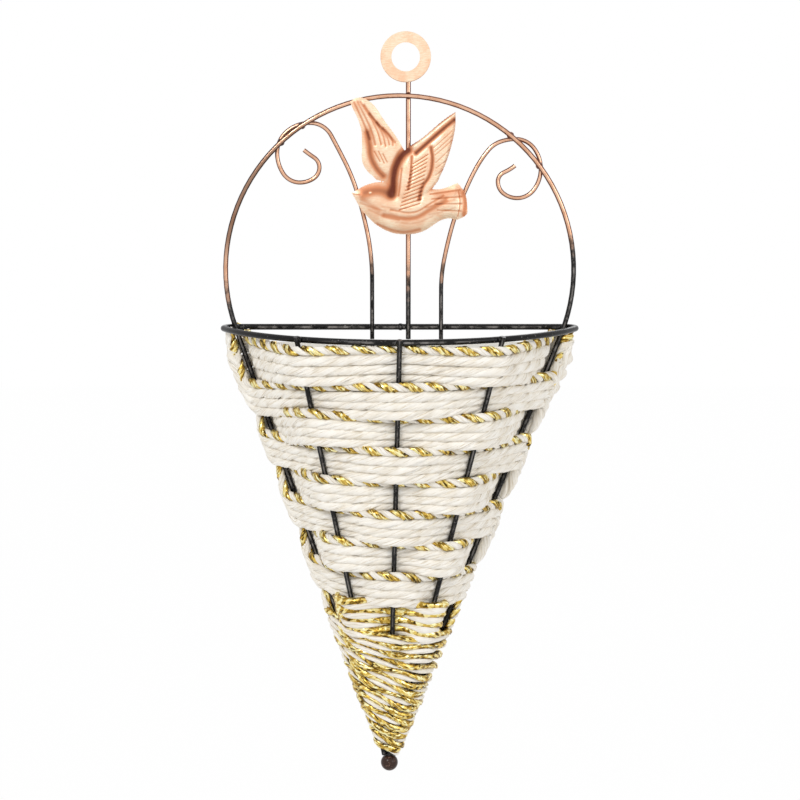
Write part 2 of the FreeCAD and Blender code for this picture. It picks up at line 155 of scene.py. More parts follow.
class NodeBench:
    """Adds nodes to a tree and fills their sockets by name."""

    def __init__(self, tree: bpy.types.NodeTree) -> None:
        """Keep the tree that is worked on."""
        self.tree = tree

    def fill(self, node: bpy.types.Node, sockets: Sockets) -> None:
        """Fill inputs of a node.

        Args:
            node: the node.
            sockets: by socket name or number, a value, or the node and output that feed it.
        """
        for name, given in sockets.items():
            if isinstance(given, tuple) and isinstance(given[0], bpy.types.Node):
                self.tree.links.new(given[0].outputs[given[1]], node.inputs[name])
            else:
                node.inputs[name].default_value = given

    def add(self, kind: str, sockets: Sockets | None = None, **settings: object) -> bpy.types.Node:
        """Add a node.

        Args:
            kind: the node's type name.
            sockets: what fills its inputs.
            settings: properties of the node itself.

        Returns:
            The new node.
        """
        node = self.tree.nodes.new(kind)
        for name, value in settings.items():
            setattr(node, name, value)
        self.fill(node, sockets or {})
        return node

    def ramp(self, value: Tap, stops: list[tuple[float, Colour]]) -> Tap:
        """Turn a value into a colour.

        Args:
            value: node and output that give the value.
            stops: place and colour of each stop, in rising order.

        Returns:
            The ramp's node and its colour output.
        """
        node = self.add("ShaderNodeValToRGB", {0: value})
        elements = node.color_ramp.elements
        while len(elements) < len(stops):
            elements.new(1.0)
        for element, (place, colour) in zip(elements, stops):
            element.position = place
            element.color = colour
        return node, 0

    def blend(self, mask: Tap, first: Tap | Colour, second: Tap | Colour) -> Tap:
        """Mix two colours, the first where the mask is 0 and the second where it is 1."""
        return self.add("ShaderNodeMix", {0: mask, 6: first, 7: second}, data_type="RGBA"), 2

    def maths(self, operation: str, first: Tap | float, second: Tap | float) -> Tap:
        """Work on two values by the named operation."""
        return self.add("ShaderNodeMath", {0: first, 1: second}, operation=operation), 0

    def spread(self, value: Tap, low: float, high: float) -> Tap:
        """Stretch a value so that low becomes 0 and high becomes 1, with a soft start and end."""
        sockets = {"Value": value, "From Min": low, "From Max": high}
        return self.add("ShaderNodeMapRange", sockets, interpolation_type="SMOOTHSTEP"), "Result"

    def noise(
        self, vector: Tap, scale: Tap | float, detail: float, rough: float = 0.5, warp: float = 0.0,
    ) -> Tap:
        """Add a cloudy noise, with its layers of detail, their strength and its warp."""
        layers = {"Detail": detail, "Roughness": rough, "Distortion": warp}
        return self.add("ShaderNodeTexNoise", {"Vector": vector, "Scale": scale} | layers), 0

    def bump(self, height: Tap, strength: float, depth: float) -> Tap:
        """Turn a height into a bumped normal, with a strength and a depth in metres."""
        return self.add("ShaderNodeBump", {"Height": height, "Strength": strength, "Distance": depth}), 0

    def painted(self, name: str) -> Tap:
        """Read a value that the mesh carries."""
        return self.add("ShaderNodeAttribute", attribute_name=name, attribute_type="GEOMETRY"), "Fac"


def effect_group(name: str, inputs: list[tuple], outputs: list[str]) -> tuple:
    """Start a shader node group.

    Args:
        name: the group's name.
        inputs: name, socket type and starting value of each input.
        outputs: name of each output, all of them values.

    Returns:
        The group, a bench for it, its input node and its output node.
    """
    group = bpy.data.node_groups.new(name, "ShaderNodeTree")
    for label, kind, value in inputs:
        socket = group.interface.new_socket(label, in_out="INPUT", socket_type=kind)
        if value is not None:
            socket.default_value = value
    for label in outputs:
        group.interface.new_socket(label, in_out="OUTPUT", socket_type="NodeSocketFloat")
    bench = NodeBench(group)
    return group, bench, bench.add("NodeGroupInput"), bench.add("NodeGroupOutput")


def paper_crease_group() -> bpy.types.NodeTree:
    """Build the long creases of twisted paper, on coordinates in millimetres along and round a ply.

    Returns:
        The group, with a crease height and a slow tint.
    """
    group, bench, source, result = effect_group(
        "paper_creases",
        [("Vector", "NodeSocketVector", None), ("Length", "NodeSocketFloat", 0.12)],
        ["Height", "Tint"],
    )
    place = (source, "Vector")
    stretch = bench.add("ShaderNodeCombineXYZ", {"X": (source, "Length"), "Y": CREASE_ROUND, "Z": 1.0})
    scaled = bench.add("ShaderNodeVectorMath", {0: place, 1: (stretch, 0)}, operation="MULTIPLY")
    creases = bench.noise((scaled, 0), scale=0.62, detail=5.0, rough=0.6, warp=0.3)
    fine = bench.noise((scaled, 0), scale=3.0, detail=3.0)
    height = bench.maths("ADD", creases, bench.maths("MULTIPLY", fine, FINE_CREASES))
    bench.fill(result, {"Height": height, "Tint": bench.noise(place, scale=0.09, detail=2.0)})
    return group


def worn_metal_group() -> bpy.types.NodeTree:
    """Build the speckle, brushing and slow stain of plated metal, on coordinates in metres.

    Returns:
        The group, with a speckle mask, a stain mask and a grain height.
    """
    group, bench, source, result = effect_group(
        "worn_metal",
        [("Vector", "NodeSocketVector", None), ("Speckle Scale", "NodeSocketFloat", 900.0),
         ("Stain Scale", "NodeSocketFloat", 60.0)],
        ["Speckle", "Stain", "Grain"],
    )
    place = (source, "Vector")
    speckle = bench.noise(place, (source, "Speckle Scale"), detail=3.0, rough=0.7)
    stain = bench.noise(place, (source, "Stain Scale"), detail=4.0, rough=0.6, warp=0.6)
    bench.fill(result, {
        "Speckle": bench.spread(speckle, *SPECKLE_SPAN),
        "Stain": bench.spread(stain, *STAIN_SPAN),
        "Grain": bench.noise(place, GRAIN_SCALE, detail=2.0),
    })
    return group


def new_material(name: str) -> tuple[bpy.types.Material, NodeBench, bpy.types.Node]:
    """Start a material.

    Args:
        name: the material's name.

    Returns:
        The material, a bench for its nodes and its main shader.
    """
    material = bpy.data.materials.new(name)
    material.use_nodes = True
    bench = NodeBench(material.node_tree)
    return material, bench, material.node_tree.nodes["Principled BSDF"]


@dataclass(frozen=True)
class PaperFinish:
    """Twisted cream paper with painted shade in its crease valleys; its crease has a strength and a depth in
    metres.
    """

    light: Colour = srgb(252, 248, 240)
    shade: Colour = srgb(242, 235, 222)
    # Painted shade laid into the valleys of the creases.
    crease_shade: Colour = srgb(220, 208, 187)
    tint_span: Span = (0.35, 0.7)
    crease_shade_span: Span = (0.66, 0.5)
    crease: Span = (0.7, 0.0004)
    roughness: float = 0.72
    specular: float = 0.25

    def material(self, creases: bpy.types.NodeTree) -> bpy.types.Material:
        """Make the paper's material.

        Args:
            creases: the group that gives the paper's creases.

        Returns:
            The material.
        """
        material, bench, shader = new_material("cream_paper")
        place = bench.add("ShaderNodeUVMap", uv_map="lengthwise")
        folds = bench.add("ShaderNodeGroup", {"Vector": (place, 0)}, node_tree=creases)
        body = bench.blend(bench.spread((folds, "Tint"), *self.tint_span), self.light, self.shade)
        # Painted shade: the crease valleys darken towards the crease colour.
        valley = bench.spread((folds, "Height"), *self.crease_shade_span)
        bench.fill(shader, {
            "Base Color": bench.blend(valley, body, self.crease_shade),
            "Normal": bench.bump((folds, "Height"), *self.crease),
            "Roughness": self.roughness,
            "Specular IOR Level": self.specular,
        })
        return material


@dataclass(frozen=True)
class FoilFinish:
    """Crinkled gold foil; each facet of the ply gets its own painted reflection, from painted shade to a
    painted glint.
    """

    # Ramp of painted reflections: dark is painted shade on a facet, deep and gold are the foil's own colour,
    # bright is a painted glint.
    dark: Colour = srgb(70, 52, 14)
    deep: Colour = srgb(176, 138, 50)
    gold: Colour = srgb(228, 196, 96)
    bright: Colour = srgb(255, 250, 196)
    stops: tuple[float, ...] = (0.14, 0.35, 0.57, 0.86)
    lean: float = 24.0
    facet_scale: Place = (0.5, 1.15, 1.0)
    facet_share: float = 0.75
    crease_length: float = 0.5
    crumple: Span = (0.4, 0.00012)
    metallic: float = 0.85
    roughness: float = 0.28

    def material(self, creases: bpy.types.NodeTree) -> bpy.types.Material:
        """Make the foil's material.

        Args:
            creases: the group that gives the strip's fine creases.

        Returns:
            The material.
        """
        material, bench, shader = new_material("gold_foil")
        place = (bench.add("ShaderNodeUVMap", uv_map="lengthwise"), 0)
        turn = (0.0, 0.0, math.radians(self.lean))
        sockets = {"Vector": place, "Rotation": turn, "Scale": self.facet_scale}
        leaning = bench.add("ShaderNodeMapping", sockets)
        sockets = {"Vector": (leaning, 0), "Scale": 1.0, "Randomness": 1.0}
        facets = bench.add("ShaderNodeTexVoronoi", sockets, voronoi_dimensions="2D")
        chance = bench.add("ShaderNodeSeparateXYZ", {0: (facets, "Color")})
        # Painted reflections: each facet gets a place on the ramp, from painted shade to painted glint.
        by_facet = bench.maths("MULTIPLY", (chance, "X"), self.facet_share)
        by_painted_glint = bench.maths("MULTIPLY", bench.painted("foil_painted_glint"), 1.0 - self.facet_share)
        stops = list(zip(self.stops, (self.dark, self.deep, self.gold, self.bright)))
        sockets = {"Vector": place, "Length": self.crease_length}
        folds = bench.add("ShaderNodeGroup", sockets, node_tree=creases)
        crumpled = bench.maths("ADD", (folds, "Height"), (chance, "Y"))
        bench.fill(shader, {
            "Base Color": bench.ramp(bench.maths("ADD", by_facet, by_painted_glint), stops),
            "Normal": bench.bump(crumpled, *self.crumple),
            "Metallic": self.metallic,
            "Roughness": self.roughness,
        })
        return material


@dataclass(frozen=True)
class WireFinish:
    """Copper-plated wire, black lower down and darker on the left; its sides and back carry painted shade,
    bronze to brown, against the copper of its front, which faces the camera.

    Lengths are in metres. The lit-front, flecked and highlight spans are of the skin's Y direction, which is
    -1 where it faces the front. On the black paint the highlight span lays a painted highlight of scuff grey
    along the front, and the flecked span lays scuffs over the front half.
    """

    name: str
    black_below: float
    lean: float = 0.0
    fade: float = 0.012
    # Darkening towards the left above a floor height: its amount, its share on the front, its span across
    # and its floor.
    left_dark: float = 0.0
    left_dark_front: float = 0.6
    left_dark_span: Span = (-0.03, -0.095)
    left_dark_floor: float = -0.116
    copper: Colour = srgb(236, 190, 160)
    worn_copper: Colour = srgb(214, 164, 132)
    # Bronze and brown are painted shade for the wire's sides and back; brown also darkens the left.
    bronze: Colour = srgb(104, 62, 48)
    brown: Colour = srgb(48, 32, 30)
    black: Colour = srgb(14, 13, 13)
    # Grey of the paint's scuffs and of its painted highlight along the front.
    scuff_and_highlight: Colour = srgb(132, 128, 125)
    speckle_scale: float = 700.0
    stain_scale: float = 120.0
    lit_front_span: Span = (-0.7, -0.96)
    flecked_span: Span = (-0.2, -0.9)
    painted_highlight_span: Span = (-0.9, -0.99)
    roughness: float = 0.2
    stain_roughness: float = 0.14
    specular: float = 0.2
    grain: Span = (0.25, 0.00008)

    def material(self, wear: bpy.types.NodeTree) -> bpy.types.Material:
        """Make the wire's material.

        Args:
            wear: the group that gives the metal's speckle and stain.

        Returns:
            The material.
        """
        material, bench, shader = new_material(self.name)
        place = bench.add("ShaderNodeTexCoord")
        scales = {"Speckle Scale": self.speckle_scale, "Stain Scale": self.stain_scale}
        worn = bench.add("ShaderNodeGroup", {"Vector": (place, "Object")} | scales, node_tree=wear)
        stain = (worn, "Stain")
        axes = bench.add("ShaderNodeSeparateXYZ", {0: (place, "Object")})
        facing = (bench.add("ShaderNodeSeparateXYZ", {0: (place, "Normal")}), "Y")
        # Darker towards the left, above the floor height.
        leftward = bench.spread((axes, "X"), *self.left_dark_span)
        above = bench.spread((axes, "Z"), self.left_dark_floor - self.fade, self.left_dark_floor + self.fade)
        darkening = bench.maths("MULTIPLY", bench.maths("MULTIPLY", leftward, above), self.left_dark)
        # Painted shade: the sides and back take bronze, darker towards brown on the left, against the copper
        # of the front.
        edge = bench.blend(darkening, self.bronze, self.brown)
        stained = bench.blend(stain, self.copper, self.worn_copper)
        bright = bench.blend(bench.maths("MULTIPLY", darkening, self.left_dark_front), stained, self.brown)
        copper = bench.blend(bench.spread(facing, *self.lit_front_span), edge, bright)
        height = bench.maths("SUBTRACT", (axes, "Z"), bench.maths("MULTIPLY", (axes, "X"), self.lean))
        ragged = bench.maths("ADD", height, bench.maths("MULTIPLY", stain, self.fade))
        blackened = bench.spread(ragged, self.black_below + self.fade, self.black_below - self.fade)
        flecked = bench.maths("MULTIPLY", (worn, "Speckle"), bench.spread(facing, *self.flecked_span))
        # Painted highlight: a narrow band facing straight to the front, broken by the stain noise, goes
        # scuff grey.
        painted_highlight = bench.maths("MULTIPLY", bench.spread(facing, *self.painted_highlight_span), stain)
        paint = bench.blend(bench.maths("MAXIMUM", flecked, painted_highlight), self.black, self.scuff_and_highlight)
        dulled = bench.maths("MULTIPLY", stain, self.stain_roughness)
        bench.fill(shader, {
            "Base Color": bench.blend(blackened, copper, paint),
            "Metallic": bench.maths("SUBTRACT", 1.0, blackened),
            "Roughness": bench.maths("ADD", dulled, self.roughness),
            "Specular IOR Level": self.specular,
            "Normal": bench.bump((worn, "Grain"), *self.grain),
        })
        return material


@dataclass(frozen=True)
class CopperSheetFinish:
    """Brushed copper sheet, dark in its recesses, partly with lacquer and partly with painted shade."""

    name: str
    copper: Colour = srgb(250, 212, 178)
    rubbed: Colour = srgb(255, 236, 208)
    stain: Colour = srgb(234, 174, 134)
    # Amber and recess darken the recesses: partly lacquer, partly painted shade in the hollows and folds.
    amber: Colour = srgb(212, 138, 96)
    recess: Colour = srgb(108, 46, 24)
    speckle_scale: float = 420.0
    stain_scale: float = 70.0
    stain_share: float = 0.5
    brush: Place = (40.0, 1.0, 400.0)
    brush_turn: float = -18.0
    streak_span: Span = (0.38, 0.62)
    amber_span: Span = (0.0, 0.6)
    recess_span: Span = (0.5, 1.0)
    roughness: float = 0.36
    recess_roughness: float = 0.2
    stain_roughness: float = 0.15
    metallic: float = 0.6
    recess_cover: float = 0.55
    specular: float = 0.3
    grain: Span = (0.2, 0.0001)

    def material(self, wear: bpy.types.NodeTree) -> bpy.types.Material:
        """Make the sheet's material.

        Args:
            wear: the group that gives the metal's speckle and stain.

        Returns:
            The material.
        """
        material, bench, shader = new_material(self.name)
        place = (bench.add("ShaderNodeTexCoord"), "Object")
        scales = {"Speckle Scale": self.speckle_scale, "Stain Scale": self.stain_scale}
        worn = bench.add("ShaderNodeGroup", {"Vector": place} | scales, node_tree=wear)
        turn = (0.0, math.radians(self.brush_turn), 0.0)
        strokes = bench.add("ShaderNodeMapping", {"Vector": place, "Scale": self.brush, "Rotation": turn})
        brushed = bench.noise((strokes, 0), scale=6.0, detail=4.0, rough=0.65)
        body = bench.blend(bench.spread(brushed, *self.streak_span), self.copper, self.rubbed)
        darkening = bench.maths("MULTIPLY", (worn, "Stain"), self.stain_share)
        stained = bench.blend(darkening, body, self.stain)
        # The recess value carries lacquer and painted shade; amber, then the recess colour, darken the sheet
        # by it.
        low = bench.painted("recess")
        amber_recess = bench.blend(bench.spread(low, *self.amber_span), stained, self.amber)
        dull = bench.maths("ADD", bench.maths("MULTIPLY", low, self.recess_roughness), self.roughness)
        dulled = bench.maths("MULTIPLY", (worn, "Stain"), self.stain_roughness)
        covered = bench.maths("MULTIPLY", low, self.recess_cover)
        bench.fill(shader, {
            "Base Color": bench.blend(bench.spread(low, *self.recess_span), amber_recess, self.recess),
            "Roughness": bench.maths("ADD", dulled, dull),
            "Metallic": bench.maths("SUBTRACT", self.metallic, covered),
            "Normal": bench.bump(brushed, *self.grain),
            "Specular IOR Level": self.specular,
        })
        return material


@dataclass(frozen=True)
class PlasticFinish:
    """Moulded pale plastic with a fine pebbled skin."""

    body: Colour = srgb(240, 238, 232)
    shade: Colour = srgb(234, 231, 225)
    stain_scale: float = 30.0
    pebbles: Span = (0.3, 0.0001)
    roughness: float = 0.5

    def material(self, wear: bpy.types.NodeTree) -> bpy.types.Material:
        """Make the plastic's material.

        Args:
            wear: the group that gives the surface's stain and grain.

        Returns:
            The material.
        """
        material, bench, shader = new_material("liner_plastic_skin")
        place = bench.add("ShaderNodeTexCoord")
        sockets = {"Vector": (place, "Object"), "Stain Scale": self.stain_scale}
        worn = bench.add("ShaderNodeGroup", sockets, node_tree=wear)
        bench.fill(shader, {
            "Base Color": bench.blend((worn, "Stain"), self.body, self.shade),
            "Normal": bench.bump((worn, "Grain"), *self.pebbles),
            "Roughness": self.roughness,
        })
        return material


@dataclass(frozen=True)
class Upright:
    """One straight wire that the cords are woven on, in millimetres; it faces an angle in degrees."""

    rim_x: float
    rim_y: float
    foot_x: float
    foot_y: float
    facing: float
    rim_z: float = -161.7
    foot_z: float = -428.0

    def at(self, z: float) -> Vector:
        """Give the wire's centre at a height.

        Args:
            z: the height.

        Returns:
            The centre.
        """
        share = (self.rim_z - z) / (self.rim_z - self.foot_z)
        x = self.rim_x + (self.foot_x - self.rim_x) * share
        y = self.rim_y + (self.foot_y - self.rim_y) * share
        return Vector((x, y, z))

    def beside(self, z: float, angle: float, reach: float) -> Vector:
        """Give a point beside the wire, in a level direction."""
        return self.at(z) + level_direction(angle) * reach


LEFT_LEG = Upright(-102.7, 0.0, -11.6, 0.0, -58.0)
LEFT_RIB = Upright(-62.88, -63.25, -13.2, -2.77, -33.0)
CENTRE_RIB = Upright(-3.6, -79.14, -10.0, -2.77, 0.0)
RIGHT_RIB = Upright(55.69, -63.27, -6.8, -2.77, 33.0)
RIGHT_LEG = Upright(95.59, 0.0, -8.4, 0.0, 58.0)
UPRIGHTS = (LEFT_LEG, LEFT_RIB, CENTRE_RIB, RIGHT_RIB, RIGHT_LEG)
RIGHTMOST = len(UPRIGHTS) - 1
LEGS = (0, RIGHTMOST)


@dataclass(frozen=True)
class Knot:
    """Control point of a rope's route, with how far the rope spreads, presses flat and has come."""

    point: Vector
    spread: float
    press: float
    progress: float


@dataclass
class Samples:
    """Even points along a rope's route, in millimetres, with what its knots say there."""

    points: np.ndarray
    spread: np.ndarray
    press: np.ndarray
    progress: np.ndarray
    along: np.ndarray

    def part(self, first: int, last: int) -> "Samples":
        """Take the samples from first to last, both included."""
        columns = (self.points, self.spread, self.press, self.progress, self.along)
        return Samples(*(column[first:last + 1] for column in columns))


def sample_route(knots: list[Knot], step: float, per_knot: int = 24) -> Samples:
    """Read even points along the smooth line through a route's knots.

    Args:
        knots: the route's knots.
        step: spacing of the points in millimetres.
        per_knot: how finely the smooth line is first read.

    Returns:
        The samples, from the route's start to its end.
    """
    said = [Vector((knot.spread, knot.press, knot.progress)) for knot in knots]
    dense = np.array(line_points([knot.point for knot in knots], per_knot, through=False))
    rates = np.array(line_points(said, per_knot, through=False))
    runs = np.linalg.norm(np.diff(dense, axis=0), axis=1)
    length = np.concatenate(([0.0], np.cumsum(runs)))
    count = max(int(length[-1] / step), 2)
    along = np.linspace(0.0, length[-1], count + 1)
    columns = [np.interp(along, length, dense[:, axis]) for axis in range(3)]
    values = [np.interp(along, length, rates[:, axis]) for axis in range(3)]
    return Samples(np.stack(columns, axis=1), values[0], values[1], values[2], along)


@dataclass(frozen=True)
class Ply:
    """One strand of a rope, in millimetres."""

    foil: bool
    start_angle: float
    sides: int
    crinkle: float
    ring_lumps: int
    size: float = 1.0


@dataclass(frozen=True)
class RopeMake:
    """How a rope is laid up, in millimetres; its sway is in degrees."""

    plies: tuple[Ply, ...]
    lay: Lay
    lay_length: float
    offset: float = 1.0
    thick: float = 1.75
    wide: float = 2.55
    sway: float = 0.0
    sway_length: float = 90.0


HARDLY_TWISTED = 9000.0
PAPER_PLY = Ply(False, 180.0, 14, 0.06, 5)
CREAM_ROPE = RopeMake(
    (Ply(False, 0.0, 18, 0.09, 8), Ply(False, 180.0, 18, 0.09, 8)), Lay.LEFT_HANDED, 40.0,
)
GOLD_ROPE = RopeMake(
    (Ply(True, 0.0, 10, 0.09, 1, 1.2), PAPER_PLY), Lay.RIGHT_HANDED, 15.0,
    offset=1.05, thick=1.25, wide=1.85,
)
LOWEST_ROPE = RopeMake(
    (Ply(True, 0.0, 10, 0.1, 2, 1.3), PAPER_PLY), Lay.RIGHT_HANDED, HARDLY_TWISTED,
    offset=1.3, thick=1.35, wide=1.9, sway=52.0, sway_length=41.0,
)
WINDING_ROPE = RopeMake(
    (Ply(True, 0.0, 10, 0.1, 2, 1.06), PAPER_PLY), Lay.RIGHT_HANDED, HARDLY_TWISTED,
    offset=1.4, thick=1.4, wide=1.95, sway=48.0, sway_length=34.0,
)


class RopeMesh:
    """Gathers the plies of one or more ropes into a mesh."""

    LUMP_LIMIT: float = 1.8
    FACET_RINGS: int = 2
    FACET_SIDES: int = 2
    FACET_CHANCE: float = 0.9
    GLINT_SCATTER: float = 0.08
    CAP_GLINT: float = 0.5

    def __init__(self, seed: int) -> None:
        """Start an empty mesh with its own draw.

        Args:
            seed: seed of the draw.
        """
        self.draw = np.random.default_rng(seed)
        self.vertices: list[np.ndarray] = []
        self.faces: list[tuple[int, ...]] = []
        self.charts: list[np.ndarray] = []
        self.foil: list[np.ndarray] = []
        self.painted_glints: list[np.ndarray] = []
        self.count = 0

    def lumps(self, rings: int, ply: Ply) -> np.ndarray:
        """Draw the unevenness of a ply's surface.

        Args:
            rings: how many rings the ply has.
            ply: the strand.

        Returns:
            One factor for each ring and side.
        """
        rough = self.draw.normal(0.0, 1.0, (rings + ply.ring_lumps - 1, ply.sides))
        total = np.cumsum(np.vstack((np.zeros((1, ply.sides)), rough)), axis=0)
        smooth = (total[ply.ring_lumps:] - total[:-ply.ring_lumps]) / math.sqrt(ply.ring_lumps)
        return 1.0 + ply.crinkle * np.clip(smooth, -self.LUMP_LIMIT, self.LUMP_LIMIT)

    def add_rope(self, samples: Samples, make: RopeMake, start_angle: float) -> None:
        """Add every ply of a rope.

        Args:
            samples: points along the rope.
            make: how the rope is laid up.
            start_angle: turn of the lay at the route's start, in degrees.
        """
        ahead = np.gradient(samples.points, axis=0)
        ahead /= np.linalg.norm(ahead, axis=1)[:, None]
        rise = np.array((0.0, 0.0, 1.0)) - ahead * ahead[:, 2:3]
        rise /= np.linalg.norm(rise, axis=1)[:, None]
        out = np.cross(ahead, rise)
        turn = make.lay.value * 2 * math.pi * samples.along / make.lay_length
        turn += math.radians(make.sway) * np.sin(2 * math.pi * samples.along / make.sway_length)
        for ply in make.plies:
            phase = turn + math.radians(start_angle + ply.start_angle)
            self.add_ply(samples, make, ply, (rise, out, phase))

    def add_ply(self, samples: Samples, make: RopeMake, ply: Ply, turned: tuple) -> None:
        """Add one ply as a closed tube of rings.

        Args:
            samples: points along the rope.
            make: how the rope is laid up.
            ply: the strand.
            turned: the rope's upward and sideways directions, and the ply's angle at each point.
        """
        rise, out, phase = turned
        rings = len(samples.points)
        around = np.arange(ply.sides) * 2 * math.pi / ply.sides
        lump = self.lumps(rings, ply) * ply.size
        reach = make.offset + make.thick * np.cos(around)[None, :] * lump
        width = make.wide * np.sin(around)[None, :] * lump
        cosine = np.cos(phase)[:, None]
        sine = np.sin(phase)[:, None]
        up = (reach * cosine - width * sine) * samples.spread[:, None]
        aside = (reach * sine + width * cosine) * samples.press[:, None]
        points = samples.points[:, None, :] + up[:, :, None] * rise[:, None, :]
        points = points + aside[:, :, None] * out[:, None, :]
        self.vertices.append(points.reshape(-1, 3) * MM)
        self.add_faces(samples.along, make, ply, rings)
        self.count += rings * ply.sides

    def add_faces(self, along: np.ndarray, make: RopeMake, ply: Ply, rings: int) -> None:
        """Add a ply's faces, with their chart in millimetres and their painted foil glints.

        Args:
            along: length along the rope at each ring.
            make: how the rope is laid up.
            ply: the strand.
            rings: how many rings the ply has.
        """
        sides = ply.sides
        shape = (rings - 1, sides)
        girth = math.pi * (make.thick + make.wide) / sides
        side = np.arange(sides)[None, :]
        after = (side + 1) % sides
        here = np.arange(rings - 1)[:, None] * sides
        corners = (here + side, here + after, here + sides + after, here + sides + side)
        quads = np.stack([np.broadcast_to(c, shape) for c in corners], axis=2).reshape(-1, 4)
        self.faces += [tuple(quad) for quad in (quads + self.count).tolist()]
        start = np.broadcast_to(along[:-1, None], shape)
        end = np.broadcast_to(along[1:, None], shape)
        left = np.broadcast_to(side * girth, shape)
        chart = np.stack((start, left, start, left + girth, end, left + girth, end, left), axis=2)
        self.charts.append(chart.reshape(-1, 2))
        first = range(self.count, self.count + sides)
        last = range(self.count + (rings - 1) * sides, self.count + rings * sides)
        self.faces += [tuple(reversed(first)), tuple(last)]
        self.charts.append(np.zeros((2 * sides, 2)))
        self.foil.append(np.full((rings - 1) * sides + 2, ply.foil))
        # Painted reflections of the foil: each block of facets draws a place from painted shade to painted
        # glint.
        drawn = (rings // self.FACET_RINGS + 1, sides // self.FACET_SIDES)
        facets = self.draw.beta(self.FACET_CHANCE, self.FACET_CHANCE, drawn)
        painted_glint = facets.repeat(self.FACET_RINGS, axis=0).repeat(self.FACET_SIDES, axis=1)[:rings - 1]
        painted_glint = np.clip(painted_glint + self.draw.normal(0.0, self.GLINT_SCATTER, painted_glint.shape), 0.0, 1.0)
        self.painted_glints.append(np.concatenate((painted_glint.ravel(), (self.CAP_GLINT, self.CAP_GLINT))))

    def piece(self, name: str, foil: bpy.types.Material, paper: bpy.types.Material) -> bpy.types.Object:
        """Make the gathered plies one piece of the basket.

        Args:
            name: the piece's name.
            foil: material of the foil plies.
            paper: material of the paper plies.

        Returns:
            The new object.
        """
        mesh = bpy.data.meshes.new(name)
        mesh.from_pydata(np.concatenate(self.vertices).tolist(), [], self.faces)
        is_foil = np.concatenate(self.foil)
        mesh.materials.append(paper)
        if is_foil.any():
            mesh.materials.append(foil)
        mesh.polygons.foreach_set("material_index", is_foil.astype(np.int32))
        mesh.polygons.foreach_set("use_smooth", np.ones(len(is_foil), dtype=bool))
        chart = mesh.uv_layers.new(name="lengthwise")
        chart.data.foreach_set("uv", np.concatenate(self.charts).astype(np.float32).ravel())
        # Painted reflections of the foil facets, one value for each face.
        painted_glint = mesh.attributes.new("foil_painted_glint", "FLOAT", "FACE")
        painted_glint.data.foreach_set("value", np.concatenate(self.painted_glints).astype(np.float32))
        mesh.update()
        made = bpy.data.objects.new(name, mesh)
        bpy.context.scene.collection.objects.link(made)
        return made


@dataclass(frozen=True)
class Wrap:
    """Step of a rope round a leg.

    It has the angle from the inner side, and the shares of the way down, of the reach and of the size.
    """

    angle: float
    way: float
    reach: float = 1.0
    size: float = 1.0


TURN = (
    Wrap(0.0, 0.0), Wrap(50.0, 0.02, 0.88), Wrap(100.0, 0.12, 0.86, 1.1), Wrap(144.0, 0.48, 1.08, 1.1),
    Wrap(168.0, 0.86, 0.98), Wrap(180.0, 1.0, 0.9),
)
TOP_START = (
    Wrap(0.0, 0.0), Wrap(50.0, 0.0, 0.88), Wrap(100.0, 0.03, 0.84, 1.3), Wrap(138.0, 0.14, 1.22, 1.25),
)
TOP_TURN = TOP_START + (Wrap(150.0, 0.5, 1.02, 1.15), Wrap(168.0, 0.88, 0.93), Wrap(180.0, 1.0, 0.87))
START_TUCK = TOP_START + (Wrap(150.0, 0.5, 0.95, 1.0), Wrap(165.0, 0.85, 0.6, 0.5))
END_TUCK = (
    Wrap(65.0, 0.9, 0.65, 0.5), Wrap(95.0, 0.6, 0.9, 0.8), Wrap(135.0, 0.2), Wrap(180.0, 0.0),
)
LOWEST_TUCK = (
    Wrap(0.0, 0.0), Wrap(50.0, 0.04, 0.9), Wrap(100.0, 0.15, 0.95), Wrap(145.0, 0.45, 1.3, 0.9),
    Wrap(168.0, 0.75, 0.7, 0.5),
)


@dataclass(frozen=True)
class Crossing:
    """A measure where a row passes over a rib, under a rib, over a leg and under a leg."""

    over: float
    under: float
    over_leg: float
    under_leg: float

    def at(self, side: Pass, at_leg: bool) -> float:
        """Give the measure at one upright.

        Args:
            side: how the row passes the upright.
            at_leg: whether the upright is a leg.

        Returns:
            The measure.
        """
        if side is Pass.OVER:
            return self.over_leg if at_leg else self.over
        return self.under_leg if at_leg else self.under


ROWS = 8
LOWEST_ROW = ROWS + 1
ROPES_IN_ROW = 4
MIDDLE_PLACE = (ROPES_IN_ROW - 1) / 2
# Drop of the top row below the hoop, in millimetres.
TOP_DROP = Crossing(15.0, 12.6, 16.0, 16.0)
# How far a row's ropes lie apart, as a share of the rope step: in most rows, and in those that differ.
WALL_SPREAD = Crossing(1.12, 1.0, 1.12, 1.12)
SPREADS = {
    1: Crossing(1.1, 1.06, 1.35, 1.35),
    ROWS: Crossing(1.12, 1.15, 1.12, 1.12),
    LOWEST_ROW: Crossing(1.25, 1.2, 1.25, 1.2),
}
# How tall a rope is pressed, as a share of its own height: in most rows, and in those that differ.
WALL_FULLNESS = Crossing(1.15, 1.0, 1.15, 1.35)
FULLNESSES = {1: Crossing(1.15, 1.0, 1.6, 1.6), LOWEST_ROW: Crossing(1.3, 1.2, 1.3, 1.2)}
# How far a row sags at an upright, by the numbers of both, in millimetres.
SAGS = {
    (2, 0): 7.5, (2, 1): 2.0, (2, 4): 2.4, (3, 0): 5.0, (3, 1): -1.5,
    (8, 1): 3.0, (8, 3): 1.5, (9, 0): -3.0, (9, 1): 3.0, (9, 3): 2.0,
}


